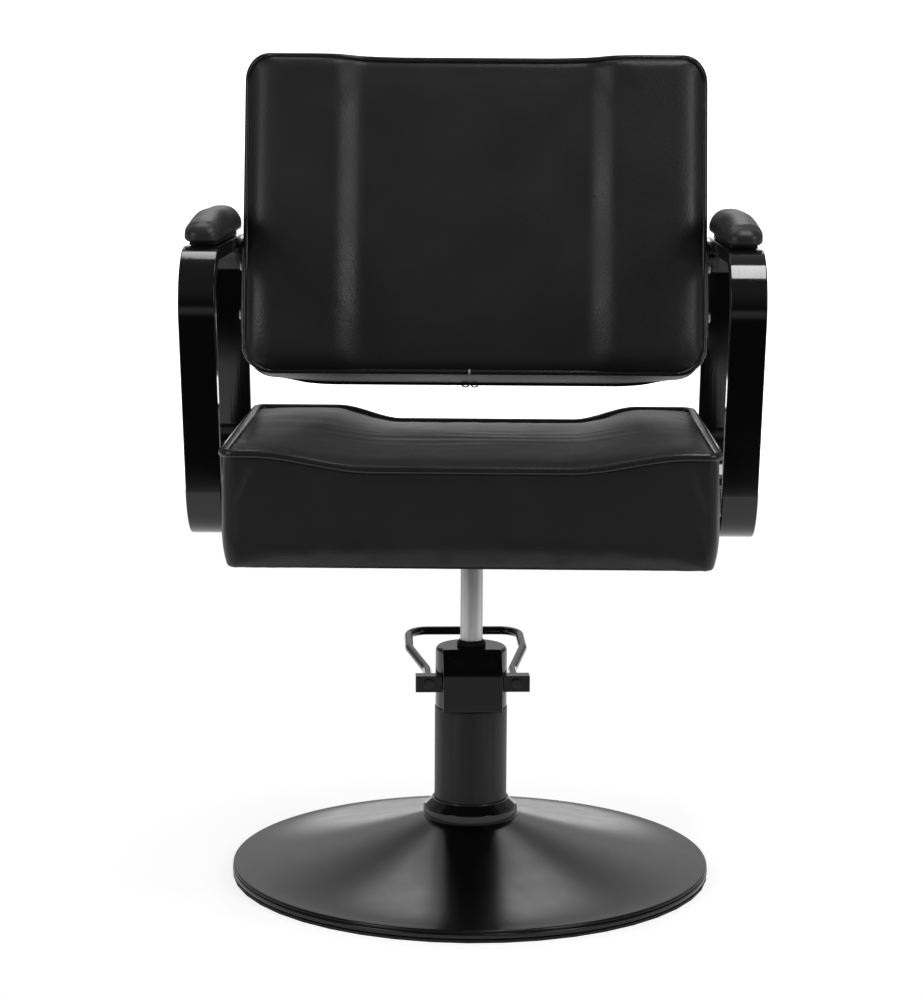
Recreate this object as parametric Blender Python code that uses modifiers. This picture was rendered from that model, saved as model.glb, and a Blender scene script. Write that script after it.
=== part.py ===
"""Hairdressing chair on a hydraulic pump: trumpet base, foot lever, dished seat, loop arms and backrest.

Metres, +Z up, the sitter faces -Y. The origin is on the floor, on the axis of the pump.
"""

import math

import bmesh
import bpy
from mathutils import Matrix, Vector

# Clearances
CLEAR = 0.0003  # between pieces that seat on each other
RUN = 0.0004  # round shafts, rods and plungers that move
SWING_CLEAR = 0.0012  # round the square ears as they turn
CUT_OVER = 0.010  # how far a cutter runs past a face

# Base: a spun dish over a flat steel plate, on a rubber ring
BASE_RADIUS = 0.280
RIM_LIFT = 0.0035  # room between the plate and the dish at the rim
RIM_ROUND = 0.006
DISH_WALL = 0.0025
DISH_RISE = 0.051
DISH_POWER = 1.35
SEAL_HEIGHT = 0.003
SEAL_WIDTH = 0.012
PLATE_THICK = 0.010
COLLAR_REACH = 0.0131  # flange beyond the tube
COLLAR_FLANGE = 0.011
COLLAR_TAPER = 0.0095
COLLAR_LIP = 0.0012
COLLAR_WALL = 0.0022

# Pump: outer tube on a bolted foot, inner barrel, piston, rod and cast head
TUBE_RADIUS = 0.0424
TUBE_WALL = 0.0025
TUBE_TOP = 0.1985
FOOT_FLANGE = 0.032
FOOT_THICK = 0.008
FOOT_BOLTS = 3
ROD_RADIUS = 0.013
PISTON_LAND = 0.0038  # piston beyond the rod
PISTON_LENGTH = 0.022
PISTON_GROOVE_DEPTH = 0.0025
PISTON_GROOVE_WIDTH = 0.0066
BARREL_WALL = 0.0033
WASHER_THICK = 0.003
LIFT_UP = 0.050  # stroke left above the height shown
LIFT_DOWN = 0.090  # stroke left below it
LIFT_MARGIN = 0.003  # washer to head at the top of the stroke
HUB_MARGIN = 0.0053  # hub to wiper at the bottom of the stroke
HEAD_STEP = 0.0006  # head inside the line of the tube
HEAD_HEIGHT = 0.0712
HEAD_SPIGOT = 0.008
HEAD_ROUND = 0.005
HEAD_WALL = 0.0039  # casting between the rod's guide and the shaft's bushes
BLOCK_HALF_WIDTH = 0.0345
BLOCK_WALL = 0.0038  # casting in front of the bushes
BLOCK_FOOT = 0.001
BLOCK_EDGE = 0.0015
BLOCK_SLOPE_RISE = 0.0105  # foot of the slope above the shaft
BLOCK_SLOPE_RUN = 0.022
GUIDE_WALL = 0.0032
GUIDE_DEPTH = 0.058
WIPER_WALL = 0.0034
WIPER_LIP = 0.001
WIPER_SLOPE = 0.003
WIPER_HEIGHT = 0.0068

# Foot lever: a bent rod bail on two square ears of the cross shaft
PUMP_HEADING = math.radians(3.4)  # the pump stands turned a little under the seat
SHAFT_RADIUS = 0.008
SHAFT_RISE = 0.0337  # shaft above the head's foot
BUSH_WALL = 0.0025
BUSH_LENGTH = 0.012
EAR_SIDE = 0.019
EAR_GAP = 0.0006
EAR_EDGE = 0.0008
EAR_WALL = 0.0014  # between the shaft's socket and the lever's hole
EAR_END_WALL = 0.0101  # outside the lever's hole
SOCKET_DEPTH = 0.0085
LEVER_RADIUS = 0.00525
LEVER_STRAIGHT = 0.069
LEVER_SPLAY = 0.0185
LEVER_SPLAY_LENGTH = 0.088
LEVER_SPLAY_RISE = 0.0077
LEVER_SPLAY_BEND = 0.048
LEVER_END_LENGTH = 0.075
LEVER_END_RISE = 0.0063
LEVER_END_BEND = 0.024
END_SCREW_RADIUS = 0.0065
END_SCREW_HEAD = 0.003
PLUNGER_RADIUS = 0.0052
PLUNGER_NOSE = 0.003
PLUNGER_TAPER = 0.004
PLUNGER_LENGTH = 0.016
CAM_FLAT = 0.005
SPRING_WIRE = 0.0005
SPRING_TURNS = 5
SPRING_LENGTH = 0.012

# Seat: hub and plate, plywood frame, dished box cushion with piping
HUB_WALL = 0.013
HUB_FOOT_WALL = 0.0078
HUB_LENGTH = 0.028
HUB_TAPER = 0.017
MOUNT_PLATE_SIDE = 0.200
MOUNT_PLATE_THICK = 0.005
MOUNT_BOLT_EDGE = 0.025
SEAT_HEIGHT = 0.122
SEAT_HALF_WIDTH = 0.2655
SEAT_FRONT = 0.248
SEAT_BACK = 0.174
SEAT_CORNER = 0.020
SEAT_DRAW_IN = 0.003
SEAT_DISH = 0.016
SEAT_CROWN = 0.004
CHANNEL_INNER = 0.100
CHANNEL_OUTER = 0.185
FRAME_HEIGHT = 0.050
FRAME_RAIL = 0.030
FRAME_FLOOR = 0.015
FRAME_INSET = 0.016
PIPING_RADIUS = 0.0035
PIPING_SINK = 0.0012  # piping inside the corner of its two panels
SEAM_CREASE = 0.8

# Arms: closed leaning loops of flat bar, each with an upholstered pad
STRIP_WIDTH = 0.040
STRIP_THICK = 0.015
STRIP_EDGE = 0.0012
LOOP_LIFT = 0.004  # loop's underside above the seat's
LOOP_HEIGHT = 0.330
LOOP_TOP_SETBACK = 0.063  # from the seat's front
LOOP_BOTTOM_SETBACK = 0.148
LOOP_TOP_OVERHANG = 0.021  # behind the seat's back
LOOP_BOTTOM_OVERHANG = 0.096
LOOP_TOP_FRONT_BEND = 0.055
LOOP_TOP_BACK_BEND = 0.050
LOOP_BOTTOM_BEND = 0.070
STUD_RADIUS = 0.004
STUD_COLLAR_RADIUS = 0.010
STUD_DEPTH = 0.024
STUD_FRONT_INSET = 0.010  # behind the loop's front bend
STUD_BACK_INSET = 0.075
PAD_BASE_WIDTH = 0.034
PAD_BASE_THICK = 0.0055
PAD_BASE_INSET = 0.012
PAD_FRONT_SETBACK = 0.058  # from the loop's top corners
PAD_BACK_SETBACK = 0.045
PAD_WIDTH = 0.043
PAD_HEIGHT = 0.030
PAD_CROWN = 0.004
PAD_CORNER = 0.013
PAD_SIDE_DRAW_IN = 0.0022
PAD_END_RUN = 0.055
PAD_END_DROP = 0.010
PAD_END_DRAW_IN = 0.0026
PAD_SCREW_RADIUS = 0.0025
PAD_SCREW_HEAD = 0.005
PAD_SCREW_HEAD_THICK = 0.003
PAD_SCREW_SPACING = 0.150

# Backrest: plywood board in a cushion with raised sides, closed by a rear panel
BACK_LEAN = math.radians(13)
BACK_GAP = 0.048  # above the seat
BACK_SET_IN = 0.092  # in front of the seat's back
BACK_OVERHANG = 0.008  # wider than the seat at each side
BACK_HEIGHT = 0.385
BACK_DEPTH = 0.083
BACK_CORNER = 0.034
BACK_BOLSTER = 0.012
BACK_CROWN = 0.004
BACK_EDGE_ROLL = 0.056
BOLSTER_INNER = 0.125
BOLSTER_OUTER = 0.175
BOARD_INSET = 0.018
BOARD_FRONT = 0.034
BOARD_THICK = 0.018
REAR_PANEL_THICK = 0.016
BRACKET_THICK = 0.0049
BRACKET_SETBACK = 0.016
BRACKET_OVERLAP = 0.017  # onto the loop's rear leg
BRACKET_HEIGHT = 0.1115
BRACKET_CORNER = 0.012
BACK_BOLT_LOW = 0.023  # above the bracket's foot
BACK_BOLT_HIGH = 0.081
BACK_BOLT_HEAD = 0.0065
BACK_BOLT_HEAD_THICK = 0.004

# Bolts
BOLT_RADIUS = 0.004
BOLT_HEAD_RADIUS = 0.0075
BOLT_HEAD_THICK = 0.005
BOLT_DOME = 0.4  # rounded share of a head's thickness

# Facets
ROUND_STEPS = 44  # the dish and its rings
TUBE_STEPS = 28  # the pump
INNER_STEPS = 16  # what the pump holds inside
SMALL_STEPS = 12  # holes and the plunger
BOLT_STEPS = 10
DISH_STATIONS = 6
BEND_STEPS = 4
LOOP_BEND_STEPS = 7
TURN_POINTS = 8
SEAM_SPAN = 0.065  # longest straight piece of a piping
WELD = 0.00001

# Heights up the pump, worked out from the sizes above
RIM_HEIGHT = PLATE_THICK + RIM_LIFT + DISH_WALL
NECK_RADIUS = TUBE_RADIUS + CLEAR
COLLAR_RADIUS = TUBE_RADIUS + COLLAR_REACH
FOOT_RADIUS = TUBE_RADIUS + FOOT_FLANGE
FOOT_BOLT_CIRCLE = TUBE_RADIUS + FOOT_FLANGE / 2
FOOT_BOTTOM = PLATE_THICK + CLEAR
TUBE_FLOOR = FOOT_BOTTOM + FOOT_THICK
HEAD_BOTTOM = TUBE_TOP + CLEAR
HEAD_TOP = HEAD_BOTTOM + HEAD_HEIGHT
HEAD_RADIUS = TUBE_RADIUS - HEAD_STEP
SPIGOT_BOTTOM = HEAD_BOTTOM - HEAD_SPIGOT
WIPER_BOTTOM = HEAD_TOP + CLEAR
WIPER_TOP = WIPER_BOTTOM + WIPER_HEIGHT
ROD_FOOT = SPIGOT_BOTTOM - LIFT_MARGIN - LIFT_UP + CLEAR
PISTON_TOP = ROD_FOOT - CLEAR - WASHER_THICK - CLEAR
PISTON_BOTTOM = PISTON_TOP - PISTON_LENGTH
PISTON_RADIUS = ROD_RADIUS + PISTON_LAND
BARREL_BORE = PISTON_RADIUS + RUN

# The cross shaft in the head, and the ears on its ends
GUIDE_RADIUS = ROD_RADIUS + RUN + GUIDE_WALL
BUSH_RADIUS = SHAFT_RADIUS + RUN + BUSH_WALL
SHAFT_FORWARD = GUIDE_RADIUS + CLEAR + HEAD_WALL + BUSH_RADIUS + CLEAR
SHAFT_HEIGHT = HEAD_BOTTOM + SHAFT_RISE
BLOCK_FRONT = SHAFT_FORWARD + BUSH_RADIUS + CLEAR + BLOCK_WALL
EAR_START = BLOCK_HALF_WIDTH + EAR_GAP
LEVER_HALF_WIDTH = EAR_START + SOCKET_DEPTH + EAR_WALL + LEVER_RADIUS + CLEAR
EAR_END = LEVER_HALF_WIDTH + LEVER_RADIUS + CLEAR + EAR_END_WALL
PLUNGER_TOP = SHAFT_HEIGHT - CAM_FLAT - CLEAR
SPRING_TOP = PLUNGER_TOP - PLUNGER_LENGTH - CLEAR
SPRING_SEAT = SPRING_TOP - SPRING_LENGTH - CLEAR

# The seat on the rod, and its frame
HUB_BOTTOM = WIPER_TOP + LIFT_DOWN + HUB_MARGIN
HUB_TOP = HUB_BOTTOM + HUB_LENGTH
MOUNT_PLATE_BOTTOM = HUB_TOP + CLEAR
SEAT_BOTTOM = MOUNT_PLATE_BOTTOM + MOUNT_PLATE_THICK + CLEAR
SEAT_TOP = SEAT_BOTTOM + SEAT_HEIGHT
SEAT_MIDDLE = (SEAT_BACK - SEAT_FRONT) / 2
SEAT_HALF_DEPTH = (SEAT_BACK + SEAT_FRONT) / 2
FRAME_HALF_WIDTH = SEAT_HALF_WIDTH - SEAT_DRAW_IN - FRAME_INSET
FRAME_HALF_DEPTH = SEAT_HALF_DEPTH - SEAT_DRAW_IN - FRAME_INSET

# The backrest and the arms that carry it
BACK_FRONT = SEAT_BACK - BACK_SET_IN
BACK_BOTTOM = SEAT_TOP + BACK_GAP
BACK_HALF_WIDTH = SEAT_HALF_WIDTH + BACK_OVERHANG
BACK_HALF_HEIGHT = BACK_HEIGHT / 2
CUSHION_DEPTH = BACK_DEPTH - REAR_PANEL_THICK
BOARD_MIDDLE = BOARD_FRONT + BOARD_THICK / 2
BRACKET_INNER = BACK_HALF_WIDTH + CLEAR
BRACKET_OUTER = BRACKET_INNER + BRACKET_THICK
ARM_INNER = BRACKET_OUTER + CLEAR
ARM_MIDDLE = ARM_INNER + STRIP_WIDTH / 2
LOOP_BOTTOM = SEAT_BOTTOM + LOOP_LIFT
LOOP_TOP = LOOP_BOTTOM + LOOP_HEIGHT
LOOP_LOW = LOOP_BOTTOM + STRIP_THICK / 2
LOOP_HIGH = LOOP_TOP - STRIP_THICK / 2
LOOP_TOP_FRONT = LOOP_TOP_SETBACK - SEAT_FRONT
LOOP_TOP_BACK = LOOP_TOP_OVERHANG + SEAT_BACK
LOOP_BOTTOM_FRONT = LOOP_BOTTOM_SETBACK - SEAT_FRONT
LOOP_BOTTOM_BACK = LOOP_BOTTOM_OVERHANG + SEAT_BACK
LOOP_CORNERS = [(LOOP_BOTTOM_FRONT, LOOP_LOW), (LOOP_BOTTOM_BACK, LOOP_LOW),
                (LOOP_TOP_BACK, LOOP_HIGH), (LOOP_TOP_FRONT, LOOP_HIGH)]
LOOP_BENDS = [LOOP_BOTTOM_BEND, LOOP_BOTTOM_BEND, LOOP_TOP_BACK_BEND, LOOP_TOP_FRONT_BEND]
STUD_FRONT = LOOP_BOTTOM_FRONT + LOOP_BOTTOM_BEND + STUD_FRONT_INSET
STUD_BACK = LOOP_BOTTOM_BACK - LOOP_BOTTOM_BEND - STUD_BACK_INSET
PAD_FRONT = LOOP_TOP_FRONT + PAD_FRONT_SETBACK
PAD_BACK = LOOP_TOP_BACK - PAD_BACK_SETBACK
PAD_MIDDLE = (PAD_FRONT + PAD_BACK) / 2
PAD_HALF_LENGTH = (PAD_BACK - PAD_FRONT) / 2
PAD_BASE_BOTTOM = LOOP_TOP + CLEAR
PAD_BASE_TOP = PAD_BASE_BOTTOM + PAD_BASE_THICK
PAD_BOTTOM = PAD_BASE_TOP + CLEAR
BRACKET_BACK = LOOP_TOP_BACK + BRACKET_OVERLAP
BRACKET_TOP = LOOP_HIGH
BRACKET_BOTTOM = BRACKET_TOP - BRACKET_HEIGHT

UPSIDE_DOWN = (math.pi, 0, 0)
SIDEWAYS = (math.pi / 2, 0, math.pi / 2)  # a 2D outline's X along Y and its Y along Z
SIDES = ((-1, "left"), (1, "right"))


def new_collection(name):
    collection = bpy.data.collections.new(name)
    bpy.context.scene.collection.children.link(collection)
    return collection


def clear_scene():
    for obj in list(bpy.data.objects):
        bpy.data.objects.remove(obj)


def material(name, colour, roughness, metallic=0.0):
    """A Principled material; the colour is linear."""
    made = bpy.data.materials.new(name)
    made.use_nodes = True
    shader = made.node_tree.nodes["Principled BSDF"]
    shader.inputs["Base Color"].default_value = (*colour, 1.0)
    shader.inputs["Roughness"].default_value = roughness
    shader.inputs["Metallic"].default_value = metallic
    return made


clear_scene()
CHAIR = new_collection("hairdressing_chair")
CUTTERS = new_collection("cutters")
BLACK_ENAMEL = material("black_gloss_enamel", (0.008, 0.008, 0.008), 0.15)
BLACK_SATIN = material("black_satin_paint", (0.02, 0.02, 0.02), 0.35)
CAST_IRON = material("black_painted_casting", (0.015, 0.015, 0.015), 0.4)
BRIGHT_STEEL = material("ground_steel", (0.45, 0.45, 0.45), 0.3, 1.0)
PLAIN_STEEL = material("plain_steel", (0.25, 0.25, 0.26), 0.45, 1.0)
BRONZE = material("sintered_bronze", (0.35, 0.22, 0.10), 0.5, 1.0)
RUBBER = material("black_rubber", (0.01, 0.01, 0.01), 0.8)
PLYWOOD = material("birch_plywood", (0.45, 0.30, 0.17), 0.7)
LEATHERETTE = material("black_leatherette", (0.018, 0.018, 0.018), 0.42)


def empty(name, location=(0, 0, 0), rotation=(0, 0, 0), parent=None):
    """A joint axis or a local frame that pieces are parented to."""
    made = bpy.data.objects.new(name, None)
    made.location = location
    made.rotation_euler = rotation
    made.parent = parent
    CHAIR.objects.link(made)
    return made


PUMP_AXIS = empty("pump_axis", rotation=(0, 0, PUMP_HEADING))
LEVER_PIVOT = empty("lever_pivot", (0, -SHAFT_FORWARD, SHAFT_HEIGHT), parent=PUMP_AXIS)
SEAT_SWIVEL = empty("seat_swivel")
BACK_PLANE = empty("back_plane", (0, BACK_FRONT, BACK_BOTTOM), (-BACK_LEAN, 0, 0), SEAT_SWIVEL)


def part(name, data, finish, parent=None, location=(0, 0, 0), rotation=(0, 0, 0)):
    """A named piece of the chair."""
    obj = bpy.data.objects.new(name, data)
    obj.location = location
    obj.rotation_euler = rotation
    obj.parent = parent
    data.materials.append(finish)
    CHAIR.objects.link(obj)
    return obj


def helper(obj):
    """Turns a piece into a cutter or a guide that isn't part of the chair."""
    CHAIR.objects.unlink(obj)
    CUTTERS.objects.link(obj)
    obj.hide_render = True
    obj.display_type = "WIRE"
    return obj


def shade(mesh, angle=35):
    mesh.shade_smooth()
    mesh.set_sharp_from_angle(angle=math.radians(angle))


def turned(name, profile, finish, steps=TUBE_STEPS, **place):
    """A solid of revolution about its local Z, from (radius, height) points down its outer side.

    A profile that starts off the axis is a ring, closed back to its first point.
    """
    mesh = bpy.data.meshes.new(name)
    edges = [(i, i + 1) for i in range(len(profile) - 1)]
    if profile[0][0] > 0:
        edges.append((len(profile) - 1, 0))
    mesh.from_pydata([(radius, 0, height) for radius, height in profile], edges, [])
    obj = part(name, mesh, finish, **place)
    screw = obj.modifiers.new("Turn", "SCREW")
    screw.steps = screw.render_steps = steps
    screw.use_merge_vertices = True
    screw.merge_threshold = WELD
    screw.use_smooth_shade = True
    return obj


def cylinder(name, radius, bottom, top, finish, steps=SMALL_STEPS, **place):
    profile = [(0, top), (radius, top), (radius, bottom), (0, bottom)]
    return turned(name, profile, finish, steps, **place)


def ring(name, outer, inner, bottom, top, finish, steps=TUBE_STEPS, **place):
    profile = [(inner, top), (outer, top), (outer, bottom), (inner, bottom)]
    return turned(name, profile, finish, steps, **place)


def block(name, size, centre, finish, bevel=0.0, parent=None):
    """A box with its edges rounded by bevel."""
    shape = bmesh.new()
    bmesh.ops.create_cube(shape, size=1, matrix=Matrix.Diagonal((*size, 1)))
    mesh = bpy.data.meshes.new(name)
    shape.to_mesh(mesh)
    shape.free()
    obj = part(name, mesh, finish, parent, centre)
    if bevel:
        rounding = obj.modifiers.new("Round", "BEVEL")
        rounding.width = bevel
        rounding.segments = 1
    return obj


def boolean(obj, other, operation):
    modifier = obj.modifiers.new(operation.title(), "BOOLEAN")
    modifier.operation = operation
    modifier.object = other


def cut_closed(obj):
    """Uses the solver for closed meshes on a piece whose cuts run close beside its edges."""
    for modifier in obj.modifiers:
        if modifier.type == "BOOLEAN":
            modifier.solver = "MANIFOLD"


def drill(obj, radius, start, end, parent=None, steps=SMALL_STEPS):
    """Cuts a round hole between two points of the parent's frame."""
    start, end = Vector(start), Vector(end)
    turn = Vector((0, 0, 1)).rotation_difference(end - start).to_euler()
    hole = cylinder(obj.name + "_hole", radius, 0, (end - start).length, PLAIN_STEEL, steps,
                    parent=parent, location=start, rotation=turn)
    boolean(obj, helper(hole), "DIFFERENCE")


def hollow(obj, size, centre, parent=None):
    """Cuts a box-shaped pocket."""
    pocket = block(obj.name + "_pocket", size, centre, PLAIN_STEEL, parent=parent)
    boolean(obj, helper(pocket), "DIFFERENCE")


def arc(centre, radius, start, end, steps):
    """Points along an arc in a plane, angles in degrees."""
    angles = [math.radians(start + (end - start) * i / steps) for i in range(steps + 1)]
    return [(centre[0] + radius * math.cos(a), centre[1] + radius * math.sin(a)) for a in angles]


def filleted(corners, bends, steps, closed=True):
    """The points of a path with each corner rounded to its bend radius; a zero bend stays sharp."""
    points = []
    for i, (corner, bend) in enumerate(zip(corners, bends)):
        corner = Vector(corner)
        if bend == 0 or (not closed and i in (0, len(corners) - 1)):
            points.append(corner)
            continue
        before = (Vector(corners[i - 1]) - corner).normalized()
        after = (Vector(corners[(i + 1) % len(corners)]) - corner).normalized()
        half = before.angle(after) / 2
        middle = corner + (before + after).normalized() * bend / math.sin(half)
        first = corner + before * bend / math.tan(half) - middle
        last = corner + after * bend / math.tan(half) - middle
        sweep = first.angle(last)
        for k in range(steps + 1):
            share = k / steps
            spoke = first * math.sin((1 - share) * sweep) + last * math.sin(share * sweep)
            points.append(middle + spoke / math.sin(sweep))
    return points


def curve_object(name, finish, dimensions, splines, closed, **place):
    curve = bpy.data.curves.new(name, "CURVE")
    curve.dimensions = dimensions
    for points in splines:
        spline = curve.splines.new("POLY")
        spline.points.add(len(points) - 1)
        for point, place_of in zip(spline.points, points):
            point.co = (*place_of, 1.0) if len(place_of) == 3 else (*place_of, 0.0, 1.0)
        spline.use_cyclic_u = closed
        spline.use_smooth = True
    return part(name, curve, finish, **place)


def tube(name, points, radius, finish, closed=False, sides=2, **place):
    """A round rod, wire or piping along points."""
    obj = curve_object(name, finish, "3D", [points], closed, **place)
    obj.data.bevel_depth = radius
    obj.data.bevel_resolution = sides
    obj.data.use_fill_caps = True
    return obj


def plate(name, outlines, thickness, finish, edge=0.0, **place):
    """A flat piece from 2D outlines, its thickness along local Z, its edges rounded by edge."""
    obj = curve_object(name, finish, "2D", outlines, True, **place)
    obj.data.fill_mode = "BOTH"
    obj.data.extrude = thickness / 2 - edge
    obj.data.bevel_depth = edge
    obj.data.offset = -edge
    obj.data.bevel_resolution = 0
    return obj


def as_mesh(obj):
    """The same piece with its curve made a mesh, so that it can be cut or cut others."""
    name, finish, parent = obj.name, obj.data.materials[0], obj.parent
    bpy.context.view_layer.update()
    graph = bpy.context.evaluated_depsgraph_get()
    made = bpy.data.meshes.new_from_object(obj.evaluated_get(graph))
    world = obj.matrix_world.copy()
    bpy.data.objects.remove(obj)
    welded = bmesh.new()
    welded.from_mesh(made)
    bmesh.ops.remove_doubles(welded, verts=welded.verts, dist=WELD)
    bmesh.ops.recalc_face_normals(welded, faces=welded.faces)
    welded.to_mesh(made)
    welded.free()
    made.materials.clear()
    shade(made)
    mesh_piece = part(name, made, finish, parent)
    mesh_piece.matrix_world = world
    return mesh_piece


def smooth_step(value, low, high):
    share = min(max((value - low) / (high - low), 0.0), 1.0)
    return share * share * (3 - 2 * share)


def rounded(x, y, half_x, half_y, corner):
    """Draws the corner squares of a rectangle in to quarter discs."""
    over_x = (abs(x) - half_x + corner) / corner
    over_y = (abs(y) - half_y + corner) / corner
    if over_x <= 0 or over_y <= 0:
        return x, y
    disc_x = over_x * math.sqrt(1 - over_y * over_y / 2)
    disc_y = over_y * math.sqrt(1 - over_x * over_x / 2)
    return (math.copysign(half_x - corner + corner * disc_x, x),
            math.copysign(half_y - corner + corner * disc_y, y))


def at_end(share):
    """Whether a share of a padded form's half size is at its face."""
    return abs(share) > 0.99


def stuffed(name, cells, shape, finish, seam=None, **place):
    """A padded form: a coarse block of cells, each point placed by shape(u, v, w), then subdivided.

    u, v and w run from -1 to 1, closer together near the faces. Edges that seam accepts stay sharp.
    """
    cage = bmesh.new()
    bmesh.ops.create_cube(cage, size=2)
    for axis, count in enumerate(cells):
        along = [e for e in cage.edges if e.verts[0].co[axis] * e.verts[1].co[axis] < 0]
        bmesh.ops.subdivide_edges(cage, edges=along, cuts=count - 1, use_grid_fill=True)
    crease = cage.edges.layers.float.new("crease_edge")
    for edge in cage.edges:
        if seam and all(seam(*vert.co) for vert in edge.verts):
            edge[crease] = SEAM_CREASE
    for vert in cage.verts:
        vert.co = shape(*(math.sin(math.pi / 2 * share) for share in vert.co))
    mesh = bpy.data.meshes.new(name)
    cage.to_mesh(mesh)
    cage.free()
    mesh.shade_smooth()
    obj = part(name, mesh, finish, **place)
    smooth = obj.modifiers.new("Smooth", "SUBSURF")
    smooth.levels = smooth.render_levels = 1
    return obj


def groove(obj, points, parent):
    """Cuts the seat of a piping into a cushion."""
    guide = tube(obj.name + "_groove", points, PIPING_RADIUS + CLEAR, RUBBER, True, 1, parent=parent)
    boolean(obj, helper(as_mesh(guide)), "DIFFERENCE")


def seam_points(half_x, half_y, corner):
    """Points of a rounded rectangle, its straight sides cut into spans of about SEAM_SPAN."""
    corners = [(half_x, -half_y), (half_x, half_y), (-half_x, half_y), (-half_x, -half_y)]
    points = filleted(corners, [corner] * 4, 3)
    spread = []
    for i, point in enumerate(points):
        spread.append(point)
        following = points[(i + 1) % len(points)]
        spans = max(1, round((following - point).length / SEAM_SPAN))
        spread += [point.lerp(following, k / spans) for k in range(1, spans)]
    return spread


def headed(name, radius, head_radius, head_thick, length, **place):
    """A bolt, screw or stud: a domed head above local Z 0 and a shank below."""
    dome = head_thick * BOLT_DOME
    profile = [(0, head_thick), (head_radius - dome, head_thick), (head_radius, head_thick - dome),
               (head_radius, 0), (radius, 0), (radius, -length), (0, -length)]
    return turned(name, profile, PLAIN_STEEL, BOLT_STEPS, **place)


def bolt_ring(radius, count):
    """Places on a bolt circle, the first between the axes."""
    angles = [math.pi / 4 + 2 * math.pi * i / count for i in range(count)]
    return [(radius * math.cos(angle), radius * math.sin(angle)) for angle in angles]


def dish_height(radius):
    """Height of the dish's outer skin, from the rim up to the neck."""
    start = BASE_RADIUS - RIM_ROUND
    share = (start - radius) / (start - COLLAR_RADIUS)
    return RIM_HEIGHT + DISH_RISE * share ** DISH_POWER


def build_base():
    reach = BASE_RADIUS - RIM_ROUND - NECK_RADIUS
    stations = [NECK_RADIUS + reach * i / DISH_STATIONS for i in range(DISH_STATIONS + 1)]
    skin = [(radius, dish_height(radius)) for radius in stations]
    rim = arc((BASE_RADIUS - RIM_ROUND, RIM_HEIGHT - RIM_ROUND), RIM_ROUND, 90, 0, 3)[1:]
    foot = SEAL_HEIGHT + CLEAR
    inner = [(radius, height - DISH_WALL) for radius, height in reversed(skin)]
    profile = skin + rim + [(BASE_RADIUS, foot), (BASE_RADIUS - DISH_WALL, foot)]
    profile += [(BASE_RADIUS - DISH_WALL, RIM_HEIGHT - RIM_ROUND)] + inner
    turned("base_dish", profile, BLACK_SATIN, ROUND_STEPS)

    plate_radius = BASE_RADIUS - SEAL_WIDTH - CLEAR
    ring("rim_seal", BASE_RADIUS - CLEAR, BASE_RADIUS - SEAL_WIDTH, 0, SEAL_HEIGHT, RUBBER, ROUND_STEPS)
    base_plate = cylinder("base_plate", plate_radius, 0, PLATE_THICK, PLAIN_STEEL, ROUND_STEPS)
    head_room = BOLT_HEAD_THICK + CLEAR
    for i, (x, y) in enumerate(bolt_ring(FOOT_BOLT_CIRCLE, FOOT_BOLTS)):
        drill(base_plate, BOLT_RADIUS + CLEAR, (x, y, 0), (x, y, PLATE_THICK + CUT_OVER))
        drill(base_plate, BOLT_HEAD_RADIUS + CLEAR, (x, y, -CUT_OVER), (x, y, head_room + CLEAR))
        headed(f"foot_bolt_{i + 1}", BOLT_RADIUS, BOLT_HEAD_RADIUS, BOLT_HEAD_THICK,
               PLATE_THICK - head_room + FOOT_THICK, location=(x, y, head_room), rotation=UPSIDE_DOWN)
    cut_closed(base_plate)

    stations = (COLLAR_RADIUS, (COLLAR_RADIUS + NECK_RADIUS) / 2, NECK_RADIUS)
    bottom = [(radius, dish_height(radius) + CLEAR) for radius in stations]
    shoulder = bottom[0][1] + COLLAR_FLANGE
    neck = shoulder + COLLAR_TAPER
    lip = NECK_RADIUS + COLLAR_WALL
    profile = [(NECK_RADIUS, neck + COLLAR_LIP), (lip, neck + COLLAR_LIP), (lip, neck),
               (COLLAR_RADIUS - COLLAR_WALL, shoulder + COLLAR_WALL / 2), (COLLAR_RADIUS, shoulder)]
    turned("base_collar", profile + bottom, BLACK_ENAMEL)


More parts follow.
